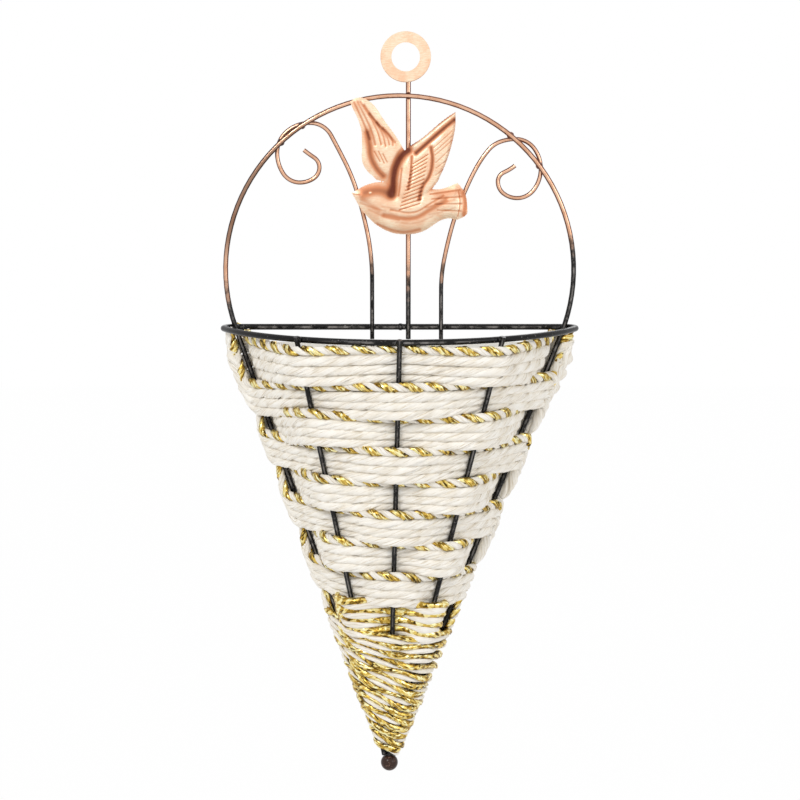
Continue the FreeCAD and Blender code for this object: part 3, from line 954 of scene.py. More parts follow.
@dataclass
class WovenWall:
    """Rows of four ropes woven round the five uprights, in millimetres and degrees.

    Falls are shares of the row pitch, and presses are shares of a rope's thickness.
    """

    foil: bpy.types.Material
    paper: bpy.types.Material
    middle_x: float = -3.6
    rope_step: float = 4.95
    first_row_step: float = 5.5
    second_row_drop: float = 34.1
    row_pitch: float = 19.8
    last_drop: float = 180.1
    tilt: float = 6.0
    over_reach: float = 4.2
    over_press: float = 0.92
    under_reach: float = 3.75
    under_press: float = 0.85
    turn_reach: float = 7.2
    turn_press: float = 0.9
    turn_narrowing: float = 0.38
    turn_stagger: float = 0.25
    turn_fan: float = 0.1
    gold_inset: float = 0.72
    inset_span: Span = (0.3, 0.9)
    pinch: float = 5.0
    approach: float = 10.0
    approach_ease: float = 3.0
    lowest_approach: float = 4.0
    lowest_gather: float = 0.55
    bulge: float = 1.8
    uneven_bulge: float = 0.3
    uneven_height: float = 0.35
    free_press: float = 1.02
    start_fall: float = 1.0
    end_fall: float = 0.3
    lowest_start_fall: float = 0.5
    lowest_end_fall: float = 0.85
    route_seed: int = 100
    gold_seed: int = 10
    cream_seed: int = 30
    lowest_seed: int = 60
    cream_angle: float = 75.0
    lowest_angle: float = -14.0
    step: float = 1.25

    def drop(self, row: int, side: Pass, at_leg: bool) -> float:
        """Give the drop of a row's middle below the hoop; the top row hangs lower where it passes over.

        Args:
            row: number of the row.
            side: how the row passes the upright.
            at_leg: whether the upright is a leg.

        Returns:
            The drop.
        """
        if row == 1:
            return TOP_DROP.at(side, at_leg)
        return self.second_row_drop + self.row_pitch * (row - 2)

    def height(self, row: int, place: int, side: Pass, number: int) -> float:
        """Work out the height of a rope at an upright.

        Args:
            row: number of the row, 1 at the top.
            place: number of the rope in its row, 0 at the top.
            side: how the row passes the upright.
            number: number of the upright, from the left.

        Returns:
            The height in millimetres.
        """
        at_leg = number in LEGS
        step = self.first_row_step if row == 1 else self.rope_step
        middle = self.drop(row, side, at_leg)
        gather = self.lowest_gather if row == LOWEST_ROW and number == 0 else 1.0
        apart = step * SPREADS.get(row, WALL_SPREAD).at(side, at_leg) * gather
        down = middle + (place - MIDDLE_PLACE) * apart
        slope = math.tan(math.radians(self.tilt * (middle / self.last_drop) ** 2))
        x = UPRIGHTS[number].at(LEFT_LEG.rim_z - middle).x
        return LEFT_LEG.rim_z - down - slope * (x - self.middle_x) - SAGS.get((row, number), 0.0)

    def passing(self, row: int, number: int) -> Pass:
        """Tell on which side a row passes an upright."""
        return Pass.OVER if (row + number) % 2 == 0 else Pass.UNDER

    def round_leg(self, row: float, place: int) -> float:
        """Give how far out a rope turns round a leg; a row's upper ropes lie a little outside its lower."""
        return self.turn_reach - self.turn_narrowing * (row - 1) + self.turn_stagger * (MIDDLE_PLACE - place)

    def at_upright(self, row: int, place: int, number: int, shift: float) -> Knot:
        """Place a knot of a row beside an upright.

        Args:
            row: number of the row.
            place: number of the rope in its row.
            number: number of the upright, from the left.
            shift: how far the knot lies to the right of the upright, along the wall.

        Returns:
            The knot.
        """
        upright = UPRIGHTS[number]
        side = self.passing(row, number)
        over = side is Pass.OVER
        at_leg = number in LEGS
        reach = self.over_reach if over else self.under_reach
        if at_leg and shift and not over and row < LOWEST_ROW:
            reach -= self.approach_ease
        outward = upright.facing if over else upright.facing + 180
        point = upright.beside(self.height(row, place, side, number), outward, reach)
        point += level_direction(upright.facing + 90) * shift
        spread = FULLNESSES.get(row, WALL_FULLNESS).at(side, at_leg)
        return Knot(point, spread, self.over_press if over else self.under_press, float(row))

    def between(self, row: int, first: Knot, second: Knot, draw: np.random.Generator) -> Knot:
        """Place a knot midway between two uprights, a little outward.

        Args:
            row: number of the row.
            first: knot at the one upright.
            second: knot at the next upright.
            draw: seeded draw for the hand's unevenness.

        Returns:
            The knot.
        """
        middle = (first.point + second.point) / 2
        outward = Vector((middle.x - self.middle_x, middle.y, 0.0)).normalized()
        uneven = Vector((0.0, 0.0, draw.normal(0.0, self.uneven_height)))
        point = middle + outward * (self.bulge + draw.normal(0.0, self.uneven_bulge)) + uneven
        return Knot(point, (first.spread + second.spread) / 2, self.free_press, float(row))

    def across(self, row: int, place: int, draw: np.random.Generator) -> list[Knot]:
        """Lay a row's knots from one leg to the other, the way that the weaver went.

        Args:
            row: number of the row.
            place: number of the rope in its row.
            draw: seeded draw for the hand's unevenness.

        Returns:
            The knots between the two turns.
        """
        approach = self.lowest_approach if row == LOWEST_ROW else self.approach
        stations = [[self.at_upright(row, place, 0, approach)]]
        for number in range(1, RIGHTMOST):
            stations.append([self.at_upright(row, place, number, way * self.pinch) for way in (-1, 1)])
        stations.append([self.at_upright(row, place, RIGHTMOST, -self.approach)])
        knots = list(stations[0])
        for station in stations[1:]:
            knots.append(self.between(row, knots[-1], station[0], draw))
            knots += station
        return knots if row % 2 == 0 else knots[::-1]

    def wrap(self, number: int, inner: Knot, outer: Knot, place: int, path: tuple[Wrap, ...]) -> list[Knot]:
        """Lead a rope round a leg, from its inner side towards the front.

        Args:
            number: number of the leg.
            inner: the rope's knot behind the leg.
            outer: the rope's knot in front of the leg.
            place: number of the rope in its row.
            path: the steps round the leg.

        Returns:
            The knots round the leg.
        """
        leg = UPRIGHTS[number]
        way = 1 if number == 0 else -1
        first = leg.facing + 180 * way
        fan = self.turn_fan * (place - MIDDLE_PLACE) * (1 if inner.point.z > outer.point.z else -1)
        knots = []
        for stop in path:
            share = stop.angle / 180
            low = stop.way + fan * math.sin(math.pi * share)
            row = inner.progress + (outer.progress - inner.progress) * share
            inset = place == 0 and self.inset_span[0] < share < self.inset_span[1]
            reach = self.round_leg(row, place) * stop.reach * (self.gold_inset if inset else 1.0)
            z = inner.point.z + (outer.point.z - inner.point.z) * low
            spread = (inner.spread + (outer.spread - inner.spread) * share) * stop.size
            point = leg.beside(z, first + way * stop.angle, reach)
            knots.append(Knot(point, spread, self.turn_press * stop.size, row))
        return knots

    def turn(self, row: int, place: int) -> list[Knot]:
        """Lead a rope round the leg at a row's end and down into the next row.

        Args:
            row: number of the row that ends.
            place: number of the rope in its row.

        Returns:
            The knots, from the upper row to the lower.
        """
        number = 0 if row % 2 else RIGHTMOST
        above = self.at_upright(row, place, number, 0.0)
        below = self.at_upright(row + 1, place, number, 0.0)
        if row % 2:
            return self.wrap(number, above, below, place, TOP_TURN if row == 1 else TURN)
        return self.wrap(number, below, above, place, TURN)[::-1]

    def tuck(self, row: int, place: int, number: int, fall: float, path: tuple[Wrap, ...]) -> list[Knot]:
        """Lead the loose end of a row round a leg and hide it.

        Args:
            row: number of the row.
            place: number of the rope in its row.
            number: number of the leg.
            fall: how far the end lies below the row, as a share of the row pitch.
            path: the steps round the leg.

        Returns:
            The knots, from the leg's inner side.
        """
        held = self.at_upright(row, place, number, 0.0)
        lower = held.point - Vector((0.0, 0.0, fall * self.row_pitch))
        end = Knot(lower, held.spread, held.press, held.progress)
        return self.wrap(number, held, end, place, path)

    def route(self, first: int, last: int, place: int) -> Samples:
        """Lay one rope through its rows, back and forth.

        Args:
            first: number of the first row.
            last: number of the last row.
            place: number of the rope in its rows.

        Returns:
            Even samples along the rope.
        """
        draw = np.random.default_rng(self.route_seed * first + place)
        if first == LOWEST_ROW:
            start = self.tuck(first, place, RIGHTMOST, self.lowest_start_fall, LOWEST_TUCK)
            end = self.tuck(last, place, 0, self.lowest_end_fall, LOWEST_TUCK)
        else:
            start = self.tuck(first, place, RIGHTMOST, self.start_fall, START_TUCK)
            end = self.tuck(last, place, RIGHTMOST, self.end_fall, END_TUCK)[::-1]
        knots = start[::-1]
        for row in range(first, last + 1):
            knots += self.across(row, place, draw)
            if row < last:
                knots += self.turn(row, place)
        return sample_route(knots + end, self.step)

    def row_part(self, samples: Samples, row: int) -> Samples:
        """Cut one row out of a rope, at the middle of the turns."""
        inside = np.flatnonzero((samples.progress >= row - 0.5) & (samples.progress <= row + 0.5))
        return samples.part(max(inside[0] - 1, 0), inside[-1])

    def build(self) -> None:
        """Weave the eight rows and the gold row below them."""
        ropes = [self.route(1, ROWS, place) for place in range(ROPES_IN_ROW)]
        for row in range(1, ROWS + 1):
            gold = RopeMesh(self.gold_seed + row)
            gold.add_rope(self.row_part(ropes[0], row), GOLD_ROPE, 0.0)
            piece = gold.piece(f"gold_rope_row_{row}", self.foil, self.paper)
            stand_for(piece, f"gold_cord_row_{row}")
            cream = RopeMesh(self.cream_seed + row)
            for place in range(1, ROPES_IN_ROW):
                cream.add_rope(self.row_part(ropes[place], row), CREAM_ROPE, self.cream_angle * place)
            piece = cream.piece(f"cream_ropes_row_{row}", self.foil, self.paper)
            stand_for(piece, f"cream_cords_row_{row}")
        lowest = RopeMesh(self.lowest_seed)
        for place in range(ROPES_IN_ROW):
            lowest.add_rope(self.route(LOWEST_ROW, LOWEST_ROW, place), LOWEST_ROPE, self.lowest_angle)
        stand_for(lowest.piece("gold_ropes_row_9", self.foil, self.paper), "gold_cords_row_9")


# Uprights that one turn of the winding passes, on which side in degrees, and at what share of the turn.
WINDING_STOPS = (
    (RIGHT_LEG, 180.0, 0.0), (LEFT_LEG, 180.0, 0.30), (LEFT_LEG, -90.0, 0.38), (LEFT_RIB, -40.0, 0.54),
    (CENTRE_RIB, 0.0, 0.69), (RIGHT_RIB, 40.0, 0.84), (RIGHT_LEG, 90.0, 0.92),
)


@dataclass
class TipWinding:
    """Gold and cream rope wound round the point, in millimetres; tilts are in degrees."""

    foil: bpy.types.Material
    paper: bpy.types.Material
    first_drop: float = 182.6
    pitch: float = 5.35
    turns: int = 15
    wire_reach: float = 1.5
    rope_reach: float = 2.25
    swell: float = 1.07
    lift: float = 0.27
    first_tilt: float = 1.5
    tip_tilt: float = 26.0
    tilted_by: float = 0.45
    tip_flat: float = 0.58
    press: float = 0.95
    seed: int = 90
    step: float = 1.1

    def knot(self, upright: Upright, angle: float, gone: float) -> Knot:
        """Place a knot of the winding.

        Args:
            upright: the wire that is passed.
            angle: side on which it is passed.
            gone: how many turns lie above.

        Returns:
            The knot.
        """
        level = LEFT_LEG.rim_z - self.first_drop - gone * self.pitch
        left = LEFT_LEG.at(level).x
        middle = (left + RIGHT_LEG.at(level).x) / 2
        x = upright.at(level).x
        done = gone / self.turns
        tilted = ease(min(done / self.tilted_by, 1.0))
        tilt = self.first_tilt + (self.tip_tilt - self.first_tilt) * tilted
        share = max((middle - x) / (middle - left), 0.0)
        z = level - (x - middle) * math.tan(math.radians(tilt)) + self.lift * (middle - left) * share ** 2
        flat = 1.0 - (1.0 - self.tip_flat) * done ** 4
        beside = upright.beside(z, angle, self.wire_reach + self.rope_reach * flat)
        centre = Vector((middle, CENTRE_RIB.at(level).y / 2, z))
        return Knot(centre + (beside - centre) * self.swell, 1.0, self.press * flat, gone)

    def build(self) -> None:
        """Wind the rope and make it the piece that stands for its node."""
        knots = []
        for turn in range(self.turns):
            knots += [self.knot(upright, angle, turn + share) for upright, angle, share in WINDING_STOPS]
        ropes = RopeMesh(self.seed)
        ropes.add_rope(sample_route(knots, self.step), WINDING_ROPE, 0.0)
        stand_for(ropes.piece("tip_rope", self.foil, self.paper), "tip_winding")


@dataclass(frozen=True)
class Form:
    """Part of the bird that is pressed out, in millimetres about the bird's middle.

    The runs join into its outline. Its lift is a step at its edge, and from there it swells to its crown
    over about three times its slope.
    """

    runs: tuple[Line, ...]
    crown: float
    slope: float
    lift: float = 0.0


@dataclass(frozen=True)
class Stroke:
    """Line worked into the bird's sheet, in millimetres about the bird's middle.

    A positive depth goes in and a negative one stands up; the dark is the share of lacquer and painted shade
    put along it, and a negative dark the share that is polished off again.
    """

    line: Line
    width: float
    depth: float
    lacquer_and_shade: float


FAR_WING = Form((
    ((-33.2, 49.5), (-29.5, 51.8), (-23.6, 51.2), (-12.0, 37.7), (-1.0, 21.1), (4.0, 8.0)),
    ((4.0, 8.0), (-8.0, 2.0), (-17.7, 3.3)),
    ((-17.7, 3.3), (-25.4, 12.5), (-26.0, 24.1), (-26.6, 33.5), (-33.2, 49.5)),
), crown=1.7, slope=3.5)
BODY = Form((
    ((-32.4, -4.4), (-21.9, 0.9), (-14.0, 2.0), (-4.0, 0.0), (8.0, -0.5), (19.7, -2.3), (31.2, 1.5)),
    ((31.2, 1.5), (35.4, -4.4), (36.9, -13.4), (36.7, -17.0), (31.3, -20.5)),
    ((31.3, -20.5), (24.1, -19.9), (9.8, -27.7), (-0.4, -29.2), (-11.4, -27.1), (-24.3, -17.2),
     (-32.4, -4.4)),
), crown=3.4, slope=5.5)
NEAR_WING = Form((
    ((29.6, 43.6), (24.0, 40.0), (9.7, 28.2), (-0.4, 20.8), (-8.2, 7.5), (-8.0, -8.0)),
    ((-8.0, -8.0), (2.0, -11.5), (12.0, -6.0), (19.1, 2.1)),
    ((19.1, 2.1), (24.5, 14.6), (27.4, 24.1), (29.6, 35.6), (29.6, 43.6)),
), crown=2.2, slope=4.0, lift=1.6)
FORMS = (FAR_WING, BODY, NEAR_WING)
FAR_FEATHERS = (
    ((-30.6, 49.0), (-24.6, 36.0), (-21.4, 27.5)),
    ((-28.5, 49.4), (-20.3, 32.1), (-18.1, 24.3)),
    ((-26.8, 49.4), (-17.2, 32.9), (-14.6, 24.3)),
    ((-24.6, 47.6), (-13.8, 30.3), (-12.0, 23.4)),
    ((-21.6, 42.5), (-11.1, 28.6), (-9.8, 24.3)),
    ((-17.2, 37.3), (-8.5, 27.7), (-7.6, 24.0)),
    ((-13.5, 33.8), (-6.2, 25.6)),
)
FAR_BARBS = (
    ((-18.6, 20.2), (-15.2, 14.2)),
    ((-16.2, 20.4), (-12.8, 13.2)),
    ((-13.6, 18.9), (-11.0, 13.8)),
)
PRIMARIES = (
    ((16.8, 22.5), (27.3, 32.1)),
    ((17.4, 20.3), (27.6, 29.4)),
    ((17.7, 18.2), (27.7, 26.9)),
    ((18.1, 13.8), (26.4, 21.7)),
    ((18.1, 10.4), (25.1, 15.6)),
    ((17.7, 6.0), (23.4, 10.4)),
)
BODY_STREAKS = (
    ((-27.0, -10.5), (-20.0, -13.0), (-12.0, -15.0)),
    ((-22.0, -14.5), (-12.0, -18.8), (-4.0, -20.6)),
    ((-14.0, -12.6), (-4.0, -13.6), (3.0, -13.8)),
    ((-6.0, -22.0), (6.0, -22.4), (16.0, -18.4)),
    ((12.0, -13.0), (20.0, -11.0), (29.0, -8.4)),
    ((14.0, -17.4), (22.0, -15.6), (30.0, -13.0)),
)
TAIL_LINES = (
    ((14.5, -5.2), (32.5, -2.6)),
    ((15.5, -8.0), (33.5, -6.6)),
    ((17.5, -11.0), (33.5, -10.8)),
    ((19.0, -14.6), (33.0, -15.2)),
)
# Groups of like lines, with the width, depth and dark (lacquer and painted shade) of each.
LINE_GROUPS = (
    (FAR_FEATHERS, 1.6, 0.5, 0.42),
    (FAR_BARBS, 0.8, 0.4, 0.5),
    (PRIMARIES, 0.7, 0.35, 0.42),
    (TAIL_LINES, 0.9, 0.3, 0.45),
    (BODY_STREAKS, 1.3, 0.08, 0.24),
)
# Short feathers of the near wing, spaced evenly from the first to the last.
COVERTS = 13
FIRST_COVERT = Stroke(((4.6, 13.0), (13.2, 18.4)), 0.75, 0.5, 0.62)
LAST_COVERT = ((-3.8, -14.5), (8.6, -10.6))
FAR_HOLLOW = ((-22.9, 31.2), (-21.6, 24.3), (-20.8, 17.3), (-18.6, 12.1), (-15.5, 7.7), (-13.3, 5.6))
NEAR_FOLD = ((1.4, 21.0), (-2.0, 18.2), (-5.5, 12.1), (-7.2, 5.1), (-7.7, -1.9), (-8.5, -5.3))
# Folds, hollows, edges, the eye and the beak; the dark in the folds and hollows is painted shade, partly
# lacquer.
FOLDS = (
    Stroke(FAR_HOLLOW, 4.4, 0.9, 0.7),
    Stroke(NEAR_FOLD, 5.8, 2.4, 1.0),
    Stroke(((4.6, 22.7), (13.3, 31.0), (22.0, 38.2), (29.0, 43.0)), 1.6, -0.7, 0.0),
    Stroke(((6.3, 19.4), (14.2, 26.4), (22.0, 33.3), (28.8, 38.9)), 3.2, 1.1, 0.85),
    Stroke(((3.0, 23.8), (9.7, 28.6), (16.8, 34.4), (24.0, 40.0), (29.2, 43.6)), 1.4, 0.3, 0.85),
    Stroke(((15.1, 22.5), (15.9, 14.7), (14.2, 6.0), (9.9, -1.0), (8.1, -8.0)), 2.8, 0.8, 0.72),
    Stroke(((3.7, 17.3), (2.8, 6.0), (1.6, -2.0)), 1.9, 0.6, 0.62),
    Stroke(((-2.4, 10.0), (-3.4, 0.0), (-4.2, -6.0)), 1.2, 0.4, 0.45),
    Stroke(((-12.9, -17.6), (4.6, -19.4), (15.1, -14.1), (23.9, -8.8)), 3.6, 0.45, 0.5),
    Stroke(((-9.0, -14.4), (5.0, -15.8), (14.5, -10.8), (22.5, -6.2)), 1.5, 0.35, 0.42),
    Stroke(((-17.0, -23.0), (-8.0, -26.6), (-0.4, -27.8), (8.5, -26.2)), 2.2, 0.1, 0.45),
    Stroke(((-26.0, -8.5), (-20.0, -12.0), (-16.0, -15.0)), 4.0, 0.0, 0.3),
    Stroke(((19.0, -5.0), (32.0, -3.4)), 7.0, 0.0, 0.35),
    Stroke(((-24.6, -4.2), (-17.0, -2.8), (-9.5, -4.4)), 7.6, -0.2, 0.72),
    Stroke(((34.6, -4.6), (35.6, -10.0), (35.0, -17.4)), 3.6, 0.1, 0.6),
    Stroke(((31.6, -3.4), (32.4, -10.4), (31.2, -18.6)), 0.7, 0.35, 0.5),
    Stroke(((-21.4, -4.2), (-20.9, -4.1)), 1.3, -0.8, -1.0),
    Stroke(((-31.2, -5.2), (-27.4, -5.6)), 0.5, 0.3, 0.55),
)


@dataclass
class PressedBird:
    """Bird pressed from copper sheet, in millimetres; keep and snap are shares of a cell."""

    wear: bpy.types.NodeTree
    middle_z: float = -76.0
    back_y: float = -1.58
    sheet: float = 0.9
    cell: float = 0.4
    keep: float = 0.45
    snap: float = 0.55
    wide: Span = (-34.4, 38.0)
    tall: Span = (-30.4, 53.2)
    line_detail: int = 8
    lifted_edge: float = 1.4
    form_rounds: int = 3
    stroke_rounds: int = 1
    lowest: float = -0.2
    # Painted shade in the hollows: the sheet darkens where it lies below its softened surroundings.
    hollow_rounds: int = 24
    hollow_depth: float = 1.1
    hollow_most: float = 0.6
    crease_angle: float = 50.0
    braze_at: Place = (1.6, -2.9, -76.0)
    braze_radius: float = 2.7
    braze_shape: Place = (1.0, 0.9, 1.15)
    braze_lumps: float = 0.25
    braze_seed: int = 4

    def strokes(self) -> list[Stroke]:
        """List every line of the feathers, folds and body.

        Returns:
            The strokes, in the order in which they are worked.
        """
        lines = [Stroke(line, *make) for group, *make in LINE_GROUPS for line in group]
        first = np.array(FIRST_COVERT.line)
        for share in np.linspace(0.0, 1.0, COVERTS):
            ends = (first + (np.array(LAST_COVERT) - first) * share).tolist()
            line = (tuple(ends[0]), tuple(ends[1]))
            lines.append(Stroke(line, FIRST_COVERT.width, FIRST_COVERT.depth, FIRST_COVERT.lacquer_and_shade))
        return lines + list(FOLDS)

    def smooth_line(self, run: Line) -> np.ndarray:
        """Read points along the smooth line through a run of points."""
        found = line_points([Vector((x, z, 0.0)) for x, z in run], self.line_detail, through=True)
        return np.array([point[:2] for point in found])

    def outline(self, runs: tuple[Line, ...]) -> np.ndarray:
        """Join an outline's smooth runs into one loop."""
        return np.concatenate([self.smooth_line(run)[:-1] for run in runs])

    def nearest(self, points: np.ndarray, line: np.ndarray, closed: bool) -> tuple[np.ndarray, np.ndarray]:
        """Find the nearest place on a line.

        Args:
            points: points to start from.
            line: corners of the line.
            closed: whether the last corner joins the first.

        Returns:
            Each point's distance, and its nearest place.
        """
        ends = np.roll(line, -1, axis=0) if closed else line[1:]
        best = np.full(len(points), FAR_OFF)
        place = np.zeros_like(points)
        for start, end in zip(line, ends):
            run = end - start
            share = np.clip((points - start) @ run / max(run @ run, TINY), 0.0, 1.0)
            on = start + share[:, None] * run
            away = np.linalg.norm(points - on, axis=1)
            nearer = away < best
            best[nearer] = away[nearer]
            place[nearer] = on[nearer]
        return best, place

    def inside(self, points: np.ndarray, loop: np.ndarray) -> np.ndarray:
        """Tell which points lie inside a loop.

        Args:
            points: the points.
            loop: corners of the loop.

        Returns:
            True for each point inside.
        """
        within = np.zeros(len(points), dtype=bool)
        for start, end in zip(loop, np.roll(loop, -1, axis=0)):
            spans = (start[1] > points[:, 1]) != (end[1] > points[:, 1])
            rise = end[1] - start[1] if end[1] != start[1] else TINY
            cross = start[0] + (points[:, 1] - start[1]) * (end[0] - start[0]) / rise
            within ^= spans & (points[:, 0] < cross)
        return within

    def soften(self, field: np.ndarray, rounds: int) -> np.ndarray:
        """Average a field over its neighbours.

        Args:
            field: the values on the grid.
            rounds: how many times it is done.

        Returns:
            The softened field.
        """
        for _ in range(rounds):
            padded = np.pad(field, 1, mode="edge")
            field = (padded[1:-1, 1:-1] * 2 + padded[:-2, 1:-1] + padded[2:, 1:-1]
                     + padded[1:-1, :-2] + padded[1:-1, 2:]) / 6
        return field

    def relief(self, points: np.ndarray, shape: tuple[int, int], loops: list[np.ndarray]) -> tuple:
        """Work out the pressed height, and the lacquer and painted shade at every point.

        Args:
            points: the grid's points.
            shape: the grid's rows and columns.
            loops: outlines of the forms.

        Returns:
            The height in millimetres, and the share of lacquer and painted shade.
        """
        height = np.zeros(len(points))
        for loop, form in zip(loops, FORMS):
            depth = self.nearest(points, loop, True)[0]
            edge = np.clip(depth / self.lifted_edge, 0.0, 1.0)
            rise = form.lift * ease(edge) + form.crown * (1 - np.exp(-depth / form.slope))
            height = np.maximum(height, np.where(self.inside(points, loop), rise, 0.0))
        height = self.soften(height.reshape(shape), self.form_rounds).ravel()
        clear = np.ones(len(points))
        polish = np.zeros(len(points))
        for stroke in self.strokes():
            away = self.nearest(points, self.smooth_line(stroke.line), False)[0]
            mark = np.exp(-(away / (stroke.width / 2)) ** 2)
            height -= stroke.depth * mark
            clear *= 1 - max(stroke.lacquer_and_shade, 0.0) * mark
            polish = np.maximum(polish, -stroke.lacquer_and_shade * mark)
        field = self.soften(np.maximum(height, self.lowest).reshape(shape), self.stroke_rounds)
        # Painted shade in the hollows, where the sheet lies below its softened surroundings.
        sunk = (self.soften(field, self.hollow_rounds) - field) / self.hollow_depth
        hollow_shade = np.clip(sunk, 0.0, self.hollow_most).ravel()
        return field.ravel(), (1 - clear * (1 - hollow_shade)) * (1 - polish)

    def trim(self, points: np.ndarray, loops: list[np.ndarray]) -> tuple[np.ndarray, np.ndarray]:
        """Move the points beside the bird's outline onto it.

        Args:
            points: the grid's points.
            loops: outlines of the forms.

        Returns:
            The moved points, and which of them the bird keeps.
        """
        kept = np.zeros(len(points), dtype=bool)
        edge = np.full(len(points), FAR_OFF)
        onto = points.copy()
        for loop in loops:
            away, place = self.nearest(points, loop, True)
            kept |= self.inside(points, loop) | (away < self.cell * self.keep)
            hidden = np.zeros(len(points), dtype=bool)
            for other in loops:
                if other is not loop:
                    hidden |= self.inside(place, other) & (self.nearest(place, other, True)[0] > self.cell)
            nearer = (away < edge) & ~hidden
            edge[nearer] = away[nearer]
            onto[nearer] = place[nearer]
        snapped = edge < self.cell * self.snap
        return np.where(snapped[:, None], onto, points), kept

    def press_sheet(self) -> bpy.types.Object:
        """Press the sheet: a fine grid, cut to the outline and raised.

        Returns:
            The sheet, still without its thickness.
        """
        width = self.wide[1] - self.wide[0]
        tallness = self.tall[1] - self.tall[0]
        columns = int(width / self.cell)
        rows = int(tallness / self.cell)
        bpy.ops.object.select_all(action="DESELECT")
        bpy.ops.mesh.primitive_grid_add(x_subdivisions=columns, y_subdivisions=rows, size=1.0)
        sheet = bpy.context.object
        sheet.name = "bird_relief"
        mesh = sheet.data
        flat = np.empty(len(mesh.vertices) * 3)
        mesh.vertices.foreach_get("co", flat)
        across = flat[0::3] * width + sum(self.wide) / 2
        up = flat[1::3] * tallness + sum(self.tall) / 2
        points = np.stack((across, up), axis=1)
        loops = [self.outline(form.runs) for form in FORMS]
        height, lacquer_and_shade = self.relief(points, (rows + 1, columns + 1), loops)
        points, kept = self.trim(points, loops)
        front = self.back_y - self.sheet - height
        raised = np.stack((points[:, 0], front, points[:, 1] + self.middle_z), axis=1)
        mesh.vertices.foreach_set("co", (raised * MM).ravel())
        dark = mesh.attributes.new("recess", "FLOAT", "POINT")
        dark.data.foreach_set("value", lacquer_and_shade.astype(np.float32))
        self.cut_away(sheet, ~kept)
        return sheet

    def cut_away(self, sheet: bpy.types.Object, waste: np.ndarray) -> None:
        """Delete a sheet's waste vertices and what hangs on them.

        Args:
            sheet: the sheet.
            waste: True for each vertex that goes.
        """
        bpy.ops.object.mode_set(mode="EDIT")
        bpy.ops.mesh.select_mode(type="VERT")
        bpy.ops.mesh.select_all(action="DESELECT")
        bpy.ops.object.mode_set(mode="OBJECT")
        sheet.data.vertices.foreach_set("select", waste)
        bpy.ops.object.mode_set(mode="EDIT")
        bpy.ops.mesh.delete(type="VERT")
        bpy.ops.mesh.select_all(action="SELECT")
        bpy.ops.mesh.delete_loose(use_faces=False)
        bpy.ops.object.mode_set(mode="OBJECT")

    def braze(self) -> bpy.types.Object:
        """Run the lump of braze that holds the hollow sheet to the stem.

        Returns:
            The lump.
        """
        bpy.ops.object.select_all(action="DESELECT")
        at = tuple(part * MM for part in self.braze_at)
        bpy.ops.mesh.primitive_ico_sphere_add(subdivisions=3, radius=self.braze_radius * MM, location=at)
        lump = bpy.context.object
        bpy.ops.object.mode_set(mode="EDIT")
        bpy.ops.transform.resize(value=self.braze_shape)
        bpy.ops.transform.vertex_random(offset=self.braze_lumps * MM, seed=self.braze_seed)
        bpy.ops.mesh.vertices_smooth(factor=0.5, repeat=2)
        bpy.ops.object.mode_set(mode="OBJECT")
        bpy.ops.object.transform_apply(location=True, rotation=True, scale=True)
        return lump

    def build(self) -> None:
        """Press the bird, give it its thickness and its finish."""
        sheet = self.press_sheet()
        bpy.ops.object.select_all(action="DESELECT")
        bpy.context.view_layer.objects.active = sheet
        sheet.select_set(True)
        thick = sheet.modifiers.new("thickness", "SOLIDIFY")
        thick.thickness = self.sheet * MM
        thick.offset = -1.0
        bpy.ops.object.modifier_apply(modifier=thick.name)
        lump = self.braze()
        bpy.ops.object.select_all(action="DESELECT")
        lump.select_set(True)
        sheet.select_set(True)
        bpy.context.view_layer.objects.active = sheet
        bpy.ops.object.join()
        bpy.ops.object.shade_smooth_by_angle(angle=math.radians(self.crease_angle))
        sheet.data.materials.append(CopperSheetFinish("pressed_copper").material(self.wear))
        stand_for(sheet, "bird_plate")


@dataclass(frozen=True)
class Lamp:
    """Square soft lamp that faces the basket's middle, in metres and watts."""

    name: str
    at: Place
    size: float
    power: float
    aim: Place = (0.0, 0.0, -0.2)

    def hang(self) -> None:
        """Hang the lamp in the room."""
        lamp = bpy.data.lights.new(self.name, "AREA")
        lamp.size = self.size
        lamp.energy = self.power
        held = bpy.data.objects.new(self.name, lamp)
        held.location = self.at
        held.rotation_euler = (Vector(self.aim) - Vector(self.at)).to_track_quat("-Z", "Y").to_euler()
        bpy.context.scene.collection.objects.link(held)


LAMPS = (
    Lamp("key_lamp", (-0.9, -1.5, 0.9), 0.4, 13.0),
    Lamp("fill_lamp", (1.3, -1.1, 0.2), 0.8, 5.0),
    Lamp("back_lamp", (0.4, 1.4, 0.8), 1.0, 6.0),
)


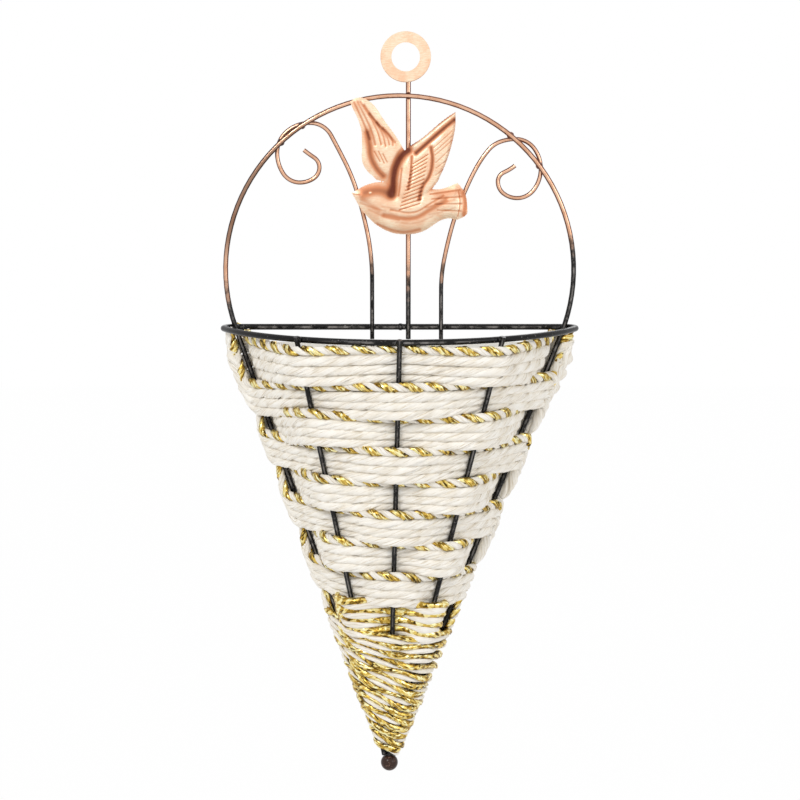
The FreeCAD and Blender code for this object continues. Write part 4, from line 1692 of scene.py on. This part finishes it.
@dataclass(frozen=True)
class Studio:
    """White room, soft lamps and the camera, in metres; the lens and the sensor are in millimetres."""

    floor_z: float = -1.2
    floor_size: float = 14.0
    floor_colour: Colour = srgb(250, 250, 250)
    floor_roughness: float = 0.9
    floor_glow: float = 0.985
    camera_at: Place = (-0.003385, -1.335171, -0.006511)
    camera_pitch: float = 81.5
    camera_sight: float = 50.0
    lens: float = 100.0
    sensor: float = 36.0
    world_light: float = 0.7

    def seen_white(self, bench: NodeBench) -> Tap:
        """Find the rays that see the white room: camera, glossy and transmission rays.

        Args:
            bench: the bench that the mask is built on.

        Returns:
            The mask of those rays.
        """
        rays = bench.add("ShaderNodeLightPath")
        seen = bench.maths("MAXIMUM", (rays, "Is Camera Ray"), (rays, "Is Glossy Ray"))
        return bench.maths("MAXIMUM", seen, (rays, "Is Transmission Ray"))

    def build_world(self) -> None:
        """Light the room evenly, and show it white."""
        world = bpy.data.worlds.new("white_room")
        world.use_nodes = True
        bpy.context.scene.world = world
        bench = NodeBench(world.node_tree)
        soft = world.node_tree.nodes["Background"]
        bench.fill(soft, {"Color": WHITE, "Strength": self.world_light})
        white = bench.add("ShaderNodeBackground", {"Color": WHITE, "Strength": 1.0})
        mix = bench.add("ShaderNodeMixShader", {0: self.seen_white(bench), 1: (soft, 0), 2: (white, 0)})
        bench.fill(world.node_tree.nodes["World Output"], {"Surface": (mix, 0)})

    def build_floor(self) -> None:
        """Lay a pale floor far below the basket."""
        bpy.ops.object.select_all(action="DESELECT")
        bpy.ops.mesh.primitive_plane_add(size=self.floor_size, location=(0.0, 0.0, self.floor_z))
        floor = bpy.context.object
        floor.name = "floor"
        material, bench, shader = new_material("pale_floor")
        bench.fill(shader, {"Base Color": self.floor_colour, "Roughness": self.floor_roughness})
        glow = bench.add("ShaderNodeEmission", {"Color": WHITE, "Strength": 1.0})
        seen = bench.maths("MULTIPLY", self.seen_white(bench), self.floor_glow)
        mix = bench.add("ShaderNodeMixShader", {0: seen, 1: (shader, 0), 2: (glow, 0)})
        bench.fill(material.node_tree.nodes["Material Output"], {"Surface": (mix, 0)})
        floor.data.materials.append(material)

    def build_camera(self) -> None:
        """Set the camera at the photograph's viewing angle."""
        data = bpy.data.cameras.new("camera")
        data.lens = self.lens
        data.sensor_width = self.sensor
        data.clip_end = self.camera_sight
        camera = bpy.data.objects.new("camera", data)
        camera.location = self.camera_at
        camera.rotation_euler = (math.radians(self.camera_pitch), 0.0, 0.0)
        bpy.context.scene.collection.objects.link(camera)
        bpy.context.scene.camera = camera

    def build(self) -> None:
        """Build the room, its lamps and the camera."""
        bpy.context.scene.view_settings.view_transform = "Standard"
        self.build_world()
        self.build_floor()
        for lamp in LAMPS:
            lamp.hang()
        self.build_camera()
        log.info("studio: room, lamps and camera")


@dataclass
class WireFrame:
    """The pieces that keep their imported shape: the metal frame, and the liner that stands in it."""

    wear: bpy.types.NodeTree
    all_black: float = 0.5

    def dress(self, finish: WireFinish | CopperSheetFinish | PlasticFinish, *nodes: str) -> None:
        """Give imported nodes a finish.

        Args:
            finish: the finish.
            nodes: names of the nodes.
        """
        material = finish.material(self.wear)
        for name in nodes:
            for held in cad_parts[name].material_slots:
                held.material = material
            log.info("%s: %s", name, material.name)

    def build(self) -> None:
        """Dress the wires, the welds, the ball, the ring and the liner."""
        self.dress(WireFinish("frame_wire", -0.1185, lean=0.1455, left_dark=1.0), "back_frame", "weld_beads")
        self.dress(WireFinish("left_scroll_wire", -0.118), "scroll_left")
        self.dress(WireFinish("right_scroll_wire", -0.121), "scroll_right")
        self.dress(WireFinish("stem_wire", -0.126), "hanger_stem")
        basket_wire = WireFinish("basket_wire", self.all_black)
        self.dress(basket_wire, "rim_hoop", "rib_left", "rib_centre", "rib_right")
        # On the ball the scuff grey is also its painted highlight along the front.
        steel = {"black": srgb(58, 40, 33), "scuff_and_highlight": srgb(186, 146, 128)}
        self.dress(WireFinish("ball_metal", self.all_black, **steel), "tip_ball")
        self.dress(CopperSheetFinish("brushed_ring"), "hanging_ring")
        self.dress(PlasticFinish(), "liner")


def main() -> None:
    """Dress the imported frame, weave the ropes and set the studio."""
    logging.basicConfig(level=logging.INFO, format="%(name)s %(message)s")
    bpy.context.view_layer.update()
    creases = paper_crease_group()
    wear = worn_metal_group()
    foil = FoilFinish().material(creases)
    paper = PaperFinish().material(creases)
    Studio().build()
    WireFrame(wear).build()
    WovenWall(foil, paper).build()
    TipWinding(foil, paper).build()
    PressedBird(wear).build()


if __name__ == "__main__":
    main()
